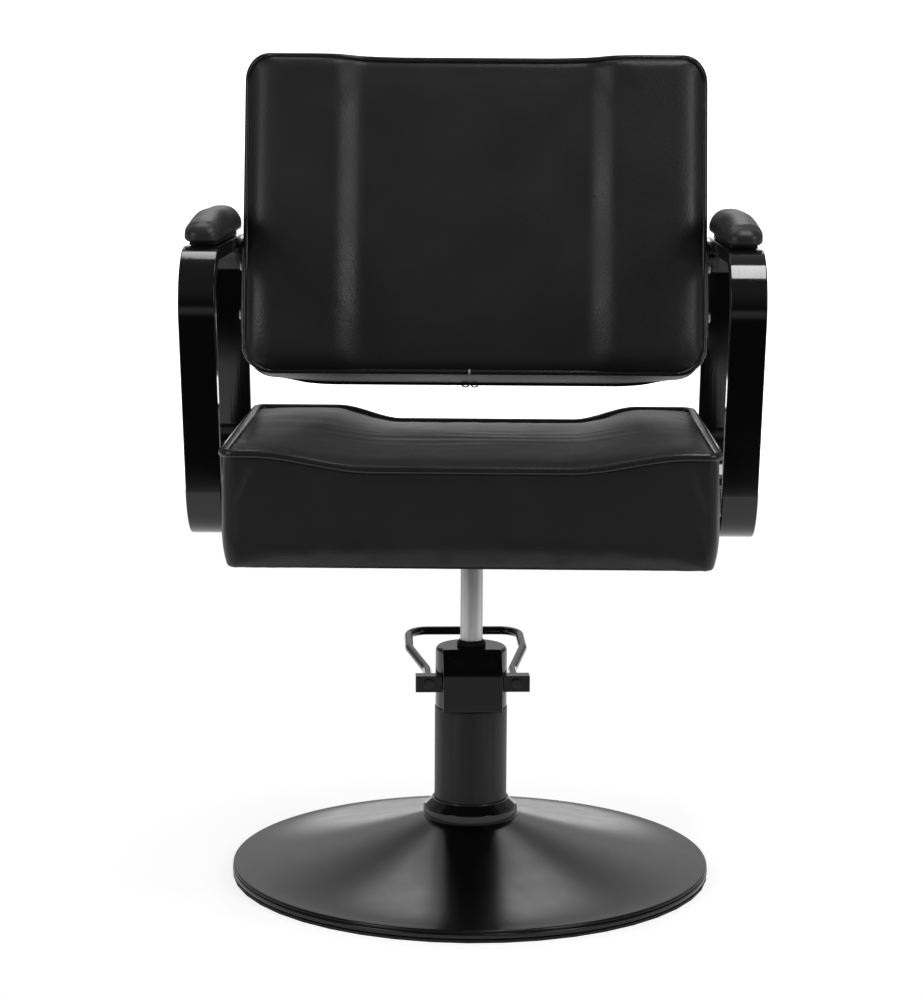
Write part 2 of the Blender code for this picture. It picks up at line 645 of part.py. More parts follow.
def build_pump():
    inner = TUBE_RADIUS - TUBE_WALL
    profile = [(0, TUBE_FLOOR), (inner, TUBE_FLOOR), (inner, TUBE_TOP), (TUBE_RADIUS, TUBE_TOP),
               (TUBE_RADIUS, TUBE_FLOOR), (FOOT_RADIUS, TUBE_FLOOR), (FOOT_RADIUS, FOOT_BOTTOM),
               (0, FOOT_BOTTOM)]
    outer_tube = turned("outer_tube", profile, BLACK_SATIN)
    for x, y in bolt_ring(FOOT_BOLT_CIRCLE, FOOT_BOLTS):
        drill(outer_tube, BOLT_RADIUS + CLEAR, (x, y, FOOT_BOTTOM - CUT_OVER), (x, y, TUBE_FLOOR + CUT_OVER))

    ring("inner_barrel", BARREL_BORE + BARREL_WALL, BARREL_BORE, TUBE_FLOOR + CLEAR, SPIGOT_BOTTOM - CLEAR,
         PLAIN_STEEL, INNER_STEPS)
    groove_bottom = (PISTON_TOP + PISTON_BOTTOM - PISTON_GROOVE_WIDTH) / 2
    groove_top = groove_bottom + PISTON_GROOVE_WIDTH
    core = PISTON_RADIUS - PISTON_GROOVE_DEPTH
    profile = [(0, PISTON_TOP), (PISTON_RADIUS, PISTON_TOP), (PISTON_RADIUS, groove_top), (core, groove_top),
               (core, groove_bottom), (PISTON_RADIUS, groove_bottom), (PISTON_RADIUS, PISTON_BOTTOM),
               (0, PISTON_BOTTOM)]
    turned("piston", profile, PLAIN_STEEL, INNER_STEPS)
    ring("piston_seal", PISTON_RADIUS, core + CLEAR, groove_bottom + CLEAR, groove_top - CLEAR, RUBBER,
         INNER_STEPS)
    cylinder("thrust_washer", ROD_RADIUS, PISTON_TOP + CLEAR, ROD_FOOT - CLEAR, BRONZE, INNER_STEPS)
    cylinder("piston_rod", ROD_RADIUS, ROD_FOOT, HUB_TOP - CLEAR, BRIGHT_STEEL, TUBE_STEPS,
             parent=SEAT_SWIVEL)

    bore = ROD_RADIUS + RUN
    ring("rod_guide", GUIDE_RADIUS, bore, HEAD_TOP - GUIDE_DEPTH, HEAD_TOP, BRONZE)
    outside = bore + WIPER_WALL
    profile = [(bore, WIPER_TOP), (bore + WIPER_LIP, WIPER_TOP), (outside, WIPER_TOP - WIPER_SLOPE),
               (outside, WIPER_BOTTOM), (bore, WIPER_BOTTOM)]
    turned("rod_wiper", profile, RUBBER)


def build_head_block():
    """The square front of the head, which holds the cross shaft, and the wedge cut off above it."""
    height = HEAD_HEIGHT - HEAD_ROUND
    centre = (0, -BLOCK_FRONT / 2, HEAD_BOTTOM + BLOCK_FOOT + height / 2)
    front = block("pump_head_block", (BLOCK_HALF_WIDTH * 2, BLOCK_FRONT, height), centre, CAST_IRON,
                  BLOCK_EDGE, PUMP_AXIS)
    slope_foot = SHAFT_HEIGHT + BLOCK_SLOPE_RISE
    drop = HEAD_TOP - slope_foot
    tilt = math.atan2(drop, BLOCK_SLOPE_RUN)
    length = math.hypot(drop, BLOCK_SLOPE_RUN)
    wedge = block("pump_head_slope", (BLOCK_HALF_WIDTH * 4, length * 3, length), (0, 0, 0), CAST_IRON,
                  parent=PUMP_AXIS)
    middle = Vector((0, BLOCK_SLOPE_RUN / 2 - BLOCK_FRONT, (HEAD_TOP + slope_foot) / 2))
    wedge.location = middle + Vector((0, -math.sin(tilt), math.cos(tilt))) * length / 2
    wedge.rotation_euler = (tilt, 0, 0)
    return helper(front), helper(wedge)


def build_pump_head():
    spigot = TUBE_RADIUS - TUBE_WALL - CLEAR
    crown = arc((HEAD_RADIUS - HEAD_ROUND, HEAD_TOP - HEAD_ROUND), HEAD_ROUND, 90, 0, 3)
    profile = [(0, HEAD_TOP)] + crown + [(HEAD_RADIUS, HEAD_BOTTOM), (spigot, HEAD_BOTTOM),
                                         (spigot, SPIGOT_BOTTOM), (0, SPIGOT_BOTTOM)]
    head = turned("pump_head", profile, CAST_IRON, parent=PUMP_AXIS)
    front, wedge = build_head_block()
    boolean(head, front, "UNION")
    boolean(head, wedge, "DIFFERENCE")

    above = (0, 0, HEAD_TOP + CUT_OVER)
    drill(head, ROD_RADIUS + RUN * 2, (0, 0, SPIGOT_BOTTOM - CUT_OVER), above, PUMP_AXIS, TUBE_STEPS)
    drill(head, GUIDE_RADIUS + CLEAR, (0, 0, HEAD_TOP - GUIDE_DEPTH - CLEAR), above, PUMP_AXIS, TUBE_STEPS)
    shaft = (-SHAFT_FORWARD, SHAFT_HEIGHT)
    swing = EAR_SIDE / math.sqrt(2) + SWING_CLEAR
    for side, name in SIDES:
        face = side * (BLOCK_HALF_WIDTH + CLEAR)
        bottom, outside = face - side * BUSH_LENGTH, side * EAR_END
        drill(head, swing, (face, *shaft), (outside, *shaft), PUMP_AXIS, INNER_STEPS)
        drill(head, BUSH_RADIUS + CLEAR, (bottom, *shaft), (outside, *shaft), PUMP_AXIS, INNER_STEPS)
        ring(f"shaft_bush_{name}", BUSH_RADIUS, SHAFT_RADIUS + RUN, -BUSH_LENGTH + CLEAR * 2, 0, BRONZE,
             INNER_STEPS, parent=PUMP_AXIS, location=(face - side * CLEAR, *shaft),
             rotation=(0, side * math.pi / 2, 0))
    drill(head, SHAFT_RADIUS + RUN, (-EAR_END, *shaft), (EAR_END, *shaft), PUMP_AXIS, INNER_STEPS)
    drill(head, PLUNGER_RADIUS + RUN, (0, -SHAFT_FORWARD, SPRING_SEAT), (0, *shaft), PUMP_AXIS, INNER_STEPS)
    cut_closed(head)


def build_lever():
    half = EAR_START + SOCKET_DEPTH - CLEAR
    shaft = cylinder("cross_shaft", SHAFT_RADIUS, -half, half, PLAIN_STEEL, INNER_STEPS, parent=LEVER_PIVOT,
                     rotation=(0, math.pi / 2, 0))
    cam = ((PLUNGER_RADIUS + RUN) * 2, SHAFT_RADIUS * 3, SHAFT_RADIUS)
    hollow(shaft, cam, (0, 0, -CAM_FLAT - SHAFT_RADIUS / 2), LEVER_PIVOT)

    for side, name in SIDES:
        ear = block(f"lever_ear_{name}", (EAR_END - EAR_START, EAR_SIDE, EAR_SIDE),
                    (side * (EAR_START + EAR_END) / 2, 0, 0), BLACK_ENAMEL, EAR_EDGE, LEVER_PIVOT)
        socket_end = side * (EAR_START + SOCKET_DEPTH)
        drill(ear, SHAFT_RADIUS + CLEAR, (0, 0, 0), (socket_end, 0, 0), LEVER_PIVOT, INNER_STEPS)
        across = side * LEVER_HALF_WIDTH
        drill(ear, LEVER_RADIUS + CLEAR, (across, -EAR_SIDE, 0), (across, EAR_SIDE, 0), LEVER_PIVOT)
        headed(f"lever_screw_{name}", LEVER_RADIUS, END_SCREW_RADIUS, END_SCREW_HEAD, EAR_SIDE / 2,
               parent=LEVER_PIVOT, location=(across, -EAR_SIDE / 2 - CLEAR, 0), rotation=(math.pi / 2, 0, 0))

    splayed = LEVER_HALF_WIDTH + LEVER_SPLAY
    splay_end = LEVER_STRAIGHT + LEVER_SPLAY_LENGTH
    right = [Vector((LEVER_HALF_WIDTH, CLEAR, 0)), Vector((LEVER_HALF_WIDTH, LEVER_STRAIGHT, 0)),
             Vector((splayed, splay_end, LEVER_SPLAY_RISE)),
             Vector((splayed, splay_end + LEVER_END_LENGTH, LEVER_SPLAY_RISE + LEVER_END_RISE))]
    left = [Vector((-x, y, z)) for x, y, z in reversed(right)]
    bends = [0, LEVER_SPLAY_BEND, LEVER_SPLAY_BEND, LEVER_END_BEND]
    route = filleted(right + left, bends + bends[::-1], BEND_STEPS, closed=False)
    tube("foot_lever", route, LEVER_RADIUS, BLACK_ENAMEL, sides=2, parent=LEVER_PIVOT)


def build_plunger():
    plunger_foot = PLUNGER_TOP - PLUNGER_LENGTH
    profile = [(0, PLUNGER_TOP), (PLUNGER_NOSE, PLUNGER_TOP), (PLUNGER_RADIUS, PLUNGER_TOP - PLUNGER_TAPER),
               (PLUNGER_RADIUS, plunger_foot), (0, plunger_foot)]
    under_shaft = (0, -SHAFT_FORWARD, 0)
    turned("pump_plunger", profile, PLAIN_STEEL, SMALL_STEPS, parent=PUMP_AXIS, location=under_shaft)

    coil = PLUNGER_RADIUS - SPRING_WIRE - CLEAR
    start = SPRING_SEAT + CLEAR + SPRING_WIRE
    rise = (SPRING_LENGTH - SPRING_WIRE * 2) / SPRING_TURNS
    wire = []
    for i in range(SPRING_TURNS * TURN_POINTS + 1):
        turn = i / TURN_POINTS
        angle = turn * 2 * math.pi
        wire.append(Vector((coil * math.cos(angle), coil * math.sin(angle), start + rise * turn)))
    gaps = [(after - before).length for before, after in zip(wire, wire[TURN_POINTS:])]
    print(f"plunger_spring: {(min(gaps) - SPRING_WIRE * 2) * 1000:.2f} mm between turns")
    tube("plunger_spring", wire, SPRING_WIRE, PLAIN_STEEL, sides=1, parent=PUMP_AXIS, location=under_shaft)


def seat_top(x, v):
    """Height of the seat's top: high sides, a wide channel from front to back and a slight crown."""
    side = smooth_step(abs(x), CHANNEL_INNER, CHANNEL_OUTER)
    return SEAT_TOP - SEAT_DISH * (1 - side) + SEAT_CROWN * (1 - v * v) * (1 - side)


def build_seat_frame():
    """The hub on the rod, the plate over it and the plywood tray that the plate is bolted to."""
    hub_bore, hub_radius = ROD_RADIUS + CLEAR, ROD_RADIUS + HUB_WALL
    profile = [(hub_bore, HUB_TOP), (hub_radius, HUB_TOP), (hub_radius, HUB_BOTTOM + HUB_TAPER),
               (ROD_RADIUS + HUB_FOOT_WALL, HUB_BOTTOM), (hub_bore, HUB_BOTTOM)]
    turned("rod_hub", profile, BLACK_SATIN, parent=SEAT_SWIVEL)
    mount = block("mount_plate", (MOUNT_PLATE_SIDE, MOUNT_PLATE_SIDE, MOUNT_PLATE_THICK),
                  (0, 0, MOUNT_PLATE_BOTTOM + MOUNT_PLATE_THICK / 2), BLACK_SATIN, parent=SEAT_SWIVEL)

    width, depth = FRAME_HALF_WIDTH * 2, FRAME_HALF_DEPTH * 2
    frame = block("seat_frame", (width, depth, FRAME_HEIGHT),
                  (0, SEAT_MIDDLE, SEAT_BOTTOM + FRAME_HEIGHT / 2), PLYWOOD, parent=SEAT_SWIVEL)
    hollow(frame, (width - FRAME_RAIL * 2, depth - FRAME_RAIL * 2, FRAME_HEIGHT),
           (0, SEAT_MIDDLE, SEAT_BOTTOM + FRAME_FLOOR + FRAME_HEIGHT / 2), SEAT_SWIVEL)
    pitch = MOUNT_PLATE_SIDE - MOUNT_BOLT_EDGE * 2
    hole = BOLT_RADIUS + CLEAR
    for i, (x, y) in enumerate(bolt_ring(pitch / math.sqrt(2), 4)):
        foot, head = (x, y, MOUNT_PLATE_BOTTOM - CUT_OVER), (x, y, SEAT_BOTTOM + FRAME_FLOOR + CUT_OVER)
        drill(mount, hole, foot, head, SEAT_SWIVEL)
        drill(frame, hole, foot, head, SEAT_SWIVEL)
        headed(f"mount_bolt_{i + 1}", BOLT_RADIUS, BOLT_HEAD_RADIUS, BOLT_HEAD_THICK,
               MOUNT_PLATE_THICK + FRAME_FLOOR, parent=SEAT_SWIVEL,
               location=(x, y, MOUNT_PLATE_BOTTOM - CLEAR), rotation=UPSIDE_DOWN)
    return frame


def build_seat():
    def cushion_shape(u, v, w):
        draw_in = SEAT_DRAW_IN * (1 - w) / 2
        half_x, half_y = SEAT_HALF_WIDTH - draw_in, SEAT_HALF_DEPTH - draw_in
        x, y = rounded(u * half_x, v * half_y, half_x, half_y, SEAT_CORNER)
        return x, y + SEAT_MIDDLE, SEAT_BOTTOM + (seat_top(x, v) - SEAT_BOTTOM) * (w + 1) / 2

    def top_edge(u, v, w):
        return w > 0 and at_end(w) and (at_end(u) or at_end(v))

    cushion = stuffed("seat_cushion", (8, 4, 3), cushion_shape, LEATHERETTE, top_edge, parent=SEAT_SWIVEL)
    room = (FRAME_HALF_WIDTH + CLEAR, FRAME_HALF_DEPTH + CLEAR, FRAME_HEIGHT + CLEAR)
    hollow(cushion, [half * 2 for half in room], (0, SEAT_MIDDLE, SEAT_BOTTOM), SEAT_SWIVEL)
    half_x, half_y = SEAT_HALF_WIDTH - PIPING_SINK, SEAT_HALF_DEPTH - PIPING_SINK
    path = [Vector((x, y + SEAT_MIDDLE, seat_top(x, y / half_y) - PIPING_SINK))
            for x, y in seam_points(half_x, half_y, SEAT_CORNER)]
    groove(cushion, path, SEAT_SWIVEL)
    tube("seat_piping", path, PIPING_RADIUS, LEATHERETTE, True, 1, parent=SEAT_SWIVEL)
    return cushion


def offset_loop(distance):
    """The arm loop's outline moved outwards by distance, its bends with it."""
    corners = []
    for i, corner in enumerate(LOOP_CORNERS):
        corner = Vector(corner)
        before = (corner - Vector(LOOP_CORNERS[i - 1])).normalized()
        after = (Vector(LOOP_CORNERS[(i + 1) % len(LOOP_CORNERS)]) - corner).normalized()
        outwards = (Vector((before.y, -before.x)) + Vector((after.y, -after.x))).normalized()
        corners.append(corner + outwards * distance / outwards.dot(Vector((after.y, -after.x))))
    return filleted(corners, [bend + distance for bend in LOOP_BENDS], LOOP_BEND_STEPS)


def build_arm(side, name, frame, cushion):
    half = STRIP_THICK / 2
    outlines = [offset_loop(half), offset_loop(-half)]
    loop = as_mesh(plate(f"arm_loop_{name}", outlines, STRIP_WIDTH, BLACK_ENAMEL, STRIP_EDGE,
                         parent=SEAT_SWIVEL, location=(side * ARM_MIDDLE, 0, 0), rotation=SIDEWAYS))
    build_pad(side, name, loop)

    hole = STUD_RADIUS + CLEAR
    share = (LOOP_LOW + STUD_COLLAR_RADIUS - SEAT_BOTTOM) / SEAT_HEIGHT
    seat_side = SEAT_HALF_WIDTH - SEAT_DRAW_IN * (1 - share) + CLEAR
    collar = ARM_INNER - CLEAR - seat_side
    tip = FRAME_HALF_WIDTH - STUD_DEPTH
    for place, y in (("front", STUD_FRONT), ("back", STUD_BACK)):
        outside = (side * ARM_INNER, y, LOOP_LOW)
        drill(cushion, hole, (0, y, LOOP_LOW), outside, SEAT_SWIVEL)
        drill(frame, hole, (side * (tip - CLEAR), y, LOOP_LOW), outside, SEAT_SWIVEL)
        headed(f"arm_stud_{name}_{place}", STUD_RADIUS, STUD_COLLAR_RADIUS, collar, seat_side - tip,
               parent=SEAT_SWIVEL, location=(side * seat_side, y, LOOP_LOW),
               rotation=(0, side * math.pi / 2, 0))


def build_pad(side, name, loop):
    """The padded rest on a loop's top run, its wooden base and the screws that hold both from below."""
    middle = side * ARM_MIDDLE
    base_length = (PAD_HALF_LENGTH - PAD_BASE_INSET) * 2
    pad_base = block(f"pad_base_{name}", (PAD_BASE_WIDTH, base_length, PAD_BASE_THICK),
                     (middle, PAD_MIDDLE, PAD_BASE_BOTTOM + PAD_BASE_THICK / 2), BLACK_SATIN,
                     parent=SEAT_SWIVEL)

    def pad_shape(u, v, w):
        end = smooth_step(abs(v) * PAD_HALF_LENGTH, PAD_HALF_LENGTH - PAD_END_RUN, PAD_HALF_LENGTH)
        half_x = PAD_WIDTH / 2 - PAD_END_DRAW_IN * end - PAD_SIDE_DRAW_IN * (1 - w) / 2
        x, y = rounded(u * half_x, v * PAD_HALF_LENGTH, half_x, PAD_HALF_LENGTH, PAD_CORNER)
        height = PAD_HEIGHT - PAD_CROWN * u * u - PAD_END_DROP * end
        return x + middle, y + PAD_MIDDLE, PAD_BOTTOM + height * (w + 1) / 2

    stuffed(f"arm_pad_{name}", (4, 6, 2), pad_shape, LEATHERETTE, parent=SEAT_SWIVEL)
    hole = PAD_SCREW_RADIUS + CLEAR
    under = LOOP_TOP - STRIP_THICK - CLEAR
    for place, forward in (("front", -1), ("back", 1)):
        y = PAD_MIDDLE + forward * PAD_SCREW_SPACING / 2
        foot, head = (middle, y, under - CUT_OVER), (middle, y, PAD_BASE_TOP + CUT_OVER)
        drill(loop, hole, foot, head, SEAT_SWIVEL)
        drill(pad_base, hole, foot, head, SEAT_SWIVEL)
        headed(f"pad_screw_{name}_{place}", PAD_SCREW_RADIUS, PAD_SCREW_HEAD, PAD_SCREW_HEAD_THICK,
               PAD_BASE_TOP - under - CLEAR, parent=SEAT_SWIVEL, location=(middle, y, under),
               rotation=UPSIDE_DOWN)


def panel_point(u, v, w, front, back, front_rise, back_rise):
    """A point of a padded panel between two depths, each face raised by its own function of x and z.

    The backrest's own frame: X across, Y to the rear, Z up the leaning front face.
    """
    x, z = rounded(u * BACK_HALF_WIDTH, w * BACK_HALF_HEIGHT, BACK_HALF_WIDTH, BACK_HALF_HEIGHT, BACK_CORNER)
    near, far = front - front_rise(x, z), back + back_rise(x, z)
    return x, near + (far - near) * (v + 1) / 2, z + BACK_HALF_HEIGHT


def flat(_x, _z):
    return 0.0


def bolsters(x, z):
    """Raised sides beside a wide flat channel, falling to the seam at the edges."""
    inside = smooth_step(BACK_HALF_WIDTH - abs(x), 0, BACK_EDGE_ROLL)
    inside *= smooth_step(BACK_HALF_HEIGHT - abs(z), 0, BACK_EDGE_ROLL)
    return inside * (BACK_CROWN + BACK_BOLSTER * smooth_step(abs(x), BOLSTER_INNER, BOLSTER_OUTER))


def crowned(x, z):
    """A slight even swell that falls to nothing at the edges."""
    return BACK_CROWN * (1 - (x / BACK_HALF_WIDTH) ** 2) * (1 - (z / BACK_HALF_HEIGHT) ** 2)


def build_backrest():
    def cushion_shape(u, v, w):
        return panel_point(u, v, w, 0, CUSHION_DEPTH, bolsters, flat)

    def rear_shape(u, v, w):
        return panel_point(u, v, w, CUSHION_DEPTH + CLEAR, BACK_DEPTH, flat, crowned)

    def face_edge(u, v, w):
        return at_end(v) and (at_end(u) or at_end(w))

    def rear_seam(u, v, w):
        return v < 0 and face_edge(u, v, w)

    cushion = stuffed("back_cushion", (8, 2, 4), cushion_shape, LEATHERETTE, face_edge, parent=BACK_PLANE)
    panel = stuffed("back_rear_panel", (4, 2, 4), rear_shape, LEATHERETTE, rear_seam, parent=BACK_PLANE)
    half_width, half_height = BACK_HALF_WIDTH - BOARD_INSET, BACK_HALF_HEIGHT - BOARD_INSET
    hollow(cushion, ((half_width + CLEAR) * 2, CUSHION_DEPTH, (half_height + CLEAR) * 2),
           (0, BOARD_FRONT - CLEAR + CUSHION_DEPTH / 2, BACK_HALF_HEIGHT), BACK_PLANE)
    board = block("back_board", (half_width * 2, BOARD_THICK, half_height * 2),
                  (0, BOARD_MIDDLE, BACK_HALF_HEIGHT), PLYWOOD, parent=BACK_PLANE)

    seams = (("back_piping_front", 0, PIPING_SINK, [cushion]),
             ("back_piping_rear", CUSHION_DEPTH, PIPING_RADIUS + CLEAR, [cushion, panel]))
    for name, depth, inset, cushions in seams:
        outline = seam_points(BACK_HALF_WIDTH - inset, BACK_HALF_HEIGHT - inset, BACK_CORNER - inset)
        path = [Vector((x, depth, z + BACK_HALF_HEIGHT)) for x, z in outline]
        for piece in cushions:
            groove(piece, path, BACK_PLANE)
        tube(name, path, PIPING_RADIUS, LEATHERETTE, True, 1, parent=BACK_PLANE)
    return board, cushion


def lean_line(depth, height):
    """Where a plane this far behind the leaning front face stands, in Y, at a height."""
    along = (height - BACK_BOTTOM + depth * math.sin(BACK_LEAN)) / math.cos(BACK_LEAN)
    return BACK_FRONT + depth * math.cos(BACK_LEAN) + along * math.sin(BACK_LEAN)


def build_bracket(side, name, board, cushion):
    """The plate welded inside an arm's rear leg and the two bolts from it into the back's board."""
    corners = [(lean_line(BRACKET_SETBACK, BRACKET_BOTTOM), BRACKET_BOTTOM), (BRACKET_BACK, BRACKET_BOTTOM),
               (BRACKET_BACK, BRACKET_TOP), (lean_line(BRACKET_SETBACK, BRACKET_TOP), BRACKET_TOP)]
    outline = filleted(corners, [BRACKET_CORNER] * len(corners), 3)
    bracket = as_mesh(plate(f"back_bracket_{name}", [outline], BRACKET_THICK, BLACK_SATIN, parent=SEAT_SWIVEL,
                            location=(side * (BRACKET_INNER + BRACKET_OUTER) / 2, 0, 0), rotation=SIDEWAYS))
    hole = STUD_RADIUS + CLEAR
    seat = BRACKET_OUTER + CLEAR
    tip = BACK_HALF_WIDTH - BOARD_INSET - STUD_DEPTH
    for place, lift in (("low", BACK_BOLT_LOW), ("high", BACK_BOLT_HIGH)):
        height = BRACKET_BOTTOM + lift
        y = lean_line(BOARD_MIDDLE, height)
        outside = (side * (seat + CUT_OVER), y, height)
        for piece in (bracket, cushion):
            drill(piece, hole, (0, y, height), outside, SEAT_SWIVEL)
        drill(board, hole, (side * (tip - CLEAR), y, height), outside, SEAT_SWIVEL)
        headed(f"back_bolt_{name}_{place}", STUD_RADIUS, BACK_BOLT_HEAD, BACK_BOLT_HEAD_THICK, seat - tip,
               parent=SEAT_SWIVEL, location=(side * seat, y, height), rotation=(0, side * math.pi / 2, 0))


def build_chair():
    build_base()
    build_pump()
    build_pump_head()
    build_lever()
    build_plunger()
    frame = build_seat_frame()
    seat = build_seat()
    board, back = build_backrest()
    for side, name in SIDES:
        build_arm(side, name, frame, seat)
        build_bracket(side, name, board, back)


build_chair()
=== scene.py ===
"""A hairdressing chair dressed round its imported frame: finishes, upholstery, studio and view."""

import math

import bmesh
import bpy
from bpy.props import FloatProperty, FloatVectorProperty, PointerProperty
from bpy.types import Operator, Panel, PropertyGroup
from mathutils import Euler, Matrix, Vector, noise


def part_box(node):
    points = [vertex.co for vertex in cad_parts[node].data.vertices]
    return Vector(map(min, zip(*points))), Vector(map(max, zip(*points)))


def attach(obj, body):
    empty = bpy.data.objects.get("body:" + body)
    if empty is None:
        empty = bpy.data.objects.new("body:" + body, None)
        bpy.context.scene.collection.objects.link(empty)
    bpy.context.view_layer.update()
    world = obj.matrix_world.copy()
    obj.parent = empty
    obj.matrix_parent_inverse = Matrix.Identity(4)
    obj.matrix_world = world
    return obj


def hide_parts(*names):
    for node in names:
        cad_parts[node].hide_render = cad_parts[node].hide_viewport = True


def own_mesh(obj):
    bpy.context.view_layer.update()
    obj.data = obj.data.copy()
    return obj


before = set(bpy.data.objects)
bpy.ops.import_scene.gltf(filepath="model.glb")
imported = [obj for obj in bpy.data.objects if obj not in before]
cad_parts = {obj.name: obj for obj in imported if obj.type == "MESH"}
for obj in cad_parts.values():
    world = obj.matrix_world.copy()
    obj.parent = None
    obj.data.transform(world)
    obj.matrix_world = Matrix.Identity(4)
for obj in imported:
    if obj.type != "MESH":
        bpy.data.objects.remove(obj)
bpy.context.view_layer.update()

bl_info = {
    "name": "Hairdressing chair",
    "version": (1, 0, 0),
    "blender": (4, 5, 0),
    "location": "View3D > Sidebar > Chair",
    "description": "Dresses the packed frame of a hairdressing chair, piece by piece",
    "category": "Object",
}

IMAGE_HEIGHT = 1000  # pixels of the photograph, which is 923 wide
STUFFING_PRESSURE = 4.0
STUFFING_FRAMES = 20

SIDES = ((-1, "left"), (1, "right"))
CLEAR = 0.0003  # between pieces that seat on each other
OVER = 0.01  # how far a cutter stands beyond what it cuts
BOLT_HOLE = 0.0043  # radius
TUBE_WALL = 0.0025
TINY = 1e-6
BEVEL_FROM = math.radians(20)  # edges that turn more than this are rounded
PUMP_HEADING = math.radians(3.4)  # the pump stands turned a little under the seat
BACK_LEAN = math.radians(13)
UNMOVED = Matrix()


def linear(code):
    """An sRGB hex colour as linear red, green and blue."""
    shares = [int(code[i:i + 2], 16) / 255 for i in (0, 2, 4)]
    return tuple(s / 12.92 if s <= 0.04045 else ((s + 0.055) / 1.055) ** 2.4 for s in shares)


# Shapes

def smooth_step(value, low, high):
    """0 up to low, 1 from high on, and an even rise between them."""
    share = min(max((value - low) / (high - low), 0.0), 1.0)
    return share * share * (3 - 2 * share)


def swell(inward, run):
    """The round shoulder of stuffing behind a seam: 0 at the seam, 1 from run inwards."""
    share = min(max(inward / run, 0.0), 1.0)
    return math.sqrt(1 - (1 - share) ** 2)


def bump_at(value, centre, width):
    """A soft hill of height 1 at centre."""
    return math.exp(-((value - centre) / width) ** 2)


def rectangle(half_x, half_y):
    """The corners of a rectangle about the origin."""
    return [(half_x, -half_y), (half_x, half_y), (-half_x, half_y), (-half_x, -half_y)]


def filleted(corners, bends, steps, closed=True):
    """The points of a path with each corner rounded to its bend radius; a zero bend stays sharp."""
    points = []
    for i, (corner, bend) in enumerate(zip(corners, bends)):
        corner = Vector(corner)
        if bend == 0 or (not closed and i in (0, len(corners) - 1)):
            points.append(corner)
            continue
        before = (Vector(corners[i - 1]) - corner).normalized()
        after = (Vector(corners[(i + 1) % len(corners)]) - corner).normalized()
        half = before.angle(after) / 2
        middle = corner + (before + after).normalized() * bend / math.sin(half)
        first = corner + before * bend / math.tan(half) - middle
        last = corner + after * bend / math.tan(half) - middle
        sweep = first.angle(last)
        for k in range(steps + 1):
            share = k / steps
            spoke = first * math.sin((1 - share) * sweep) + last * math.sin(share * sweep)
            points.append(middle + spoke / math.sin(sweep))
    return points


def spaced(points, span, closed=True):
    """The same path with its long straights cut into spans."""
    made = []
    for i, point in enumerate(points):
        made.append(point)
        if closed or i < len(points) - 1:
            following = points[(i + 1) % len(points)]
            count = max(1, round((following - point).length / span))
            made += [point.lerp(following, k / count) for k in range(1, count)]
    return made


def turned(profile, steps, closed=True):
    """Points and faces of a profile of (radius, height) points turned about Z."""
    points, faces, rings = [], [], []
    for radius, height in profile:
        if radius < TINY:
            rings.append([len(points)] * steps)
            points.append(Vector((0, 0, height)))
            continue
        rings.append(list(range(len(points), len(points) + steps)))
        for step in range(steps):
            angle = 2 * math.pi * step / steps
            points.append(Vector((radius * math.cos(angle), radius * math.sin(angle), height)))
    pairs = list(zip(rings, rings[1:]))
    if closed and profile[0][0] > TINY:
        pairs.append((rings[-1], rings[0]))
    for low, high in pairs:
        for step in range(steps):
            after = (step + 1) % steps
            face = list(dict.fromkeys((low[step], low[after], high[after], high[step])))
            if len(face) > 2:
                faces.append(face)
    return points, faces


def swept(path, section, first_normal, closed):
    """Points and faces of a section carried along a path without twisting."""
    normal = Vector(first_normal)
    points, faces, size = [], [], len(section)
    for i, place in enumerate(path):
        before = path[i - 1] if closed or i else place
        after = path[(i + 1) % len(path)] if closed or i < len(path) - 1 else place
        along = (after - before).normalized()
        normal = (normal - along * normal.dot(along)).normalized()
        across = along.cross(normal)
        points += [place + normal * a + across * b for a, b in section]
    for i in range(len(path) if closed else len(path) - 1):
        start, end = i * size, (i + 1) % len(path) * size
        for k in range(size):
            after = (k + 1) % size
            faces.append((start + k, start + after, end + after, end + k))
    if not closed:
        faces += [tuple(range(size)), tuple(range(len(points) - size, len(points)))]
    return points, faces


def circle(radius, steps):
    """Points of a round section."""
    angles = [2 * math.pi * k / steps for k in range(steps)]
    return [(radius * math.cos(angle), radius * math.sin(angle)) for angle in angles]


def prism(outline, low, high, along_y=False):
    """Points and faces of a (y, z) outline carried along X, or of an (x, z) outline along Y."""
    count = len(outline)
    points = [Vector((a, at, b) if along_y else (at, a, b)) for at in (low, high) for a, b in outline]
    faces = [tuple(range(count)), tuple(range(count, 2 * count))]
    faces += [(k, (k + 1) % count, count + (k + 1) % count, count + k) for k in range(count)]
    return points, faces


def bevelled(points, faces, width, segments=3):
    """The same solid with all its sharp edges rounded."""
    shape = bmesh.new()
    made = [shape.verts.new(point) for point in points]
    for face in faces:
        shape.faces.new([made[k] for k in face])
    bmesh.ops.recalc_face_normals(shape, faces=shape.faces)
    sharp = [edge for edge in shape.edges if edge.calc_face_angle() > BEVEL_FROM]
    bmesh.ops.bevel(shape, geom=sharp, offset=width, segments=segments, profile=0.5, affect="EDGES")
    shape.verts.index_update()
    result = [vert.co.copy() for vert in shape.verts], [[v.index for v in f.verts] for f in shape.faces]
    shape.free()
    return result


def cuboid(size, centre, width):
    """Points and faces of a box with its edges rounded to a width."""
    half = [length / 2 for length in size]
    outline = [(-half[1], -half[2]), (half[1], -half[2]), (half[1], half[2]), (-half[1], half[2])]
    points, faces = bevelled(*prism(outline, -half[0], half[0]), width)
    return [point + Vector(centre) for point in points], faces


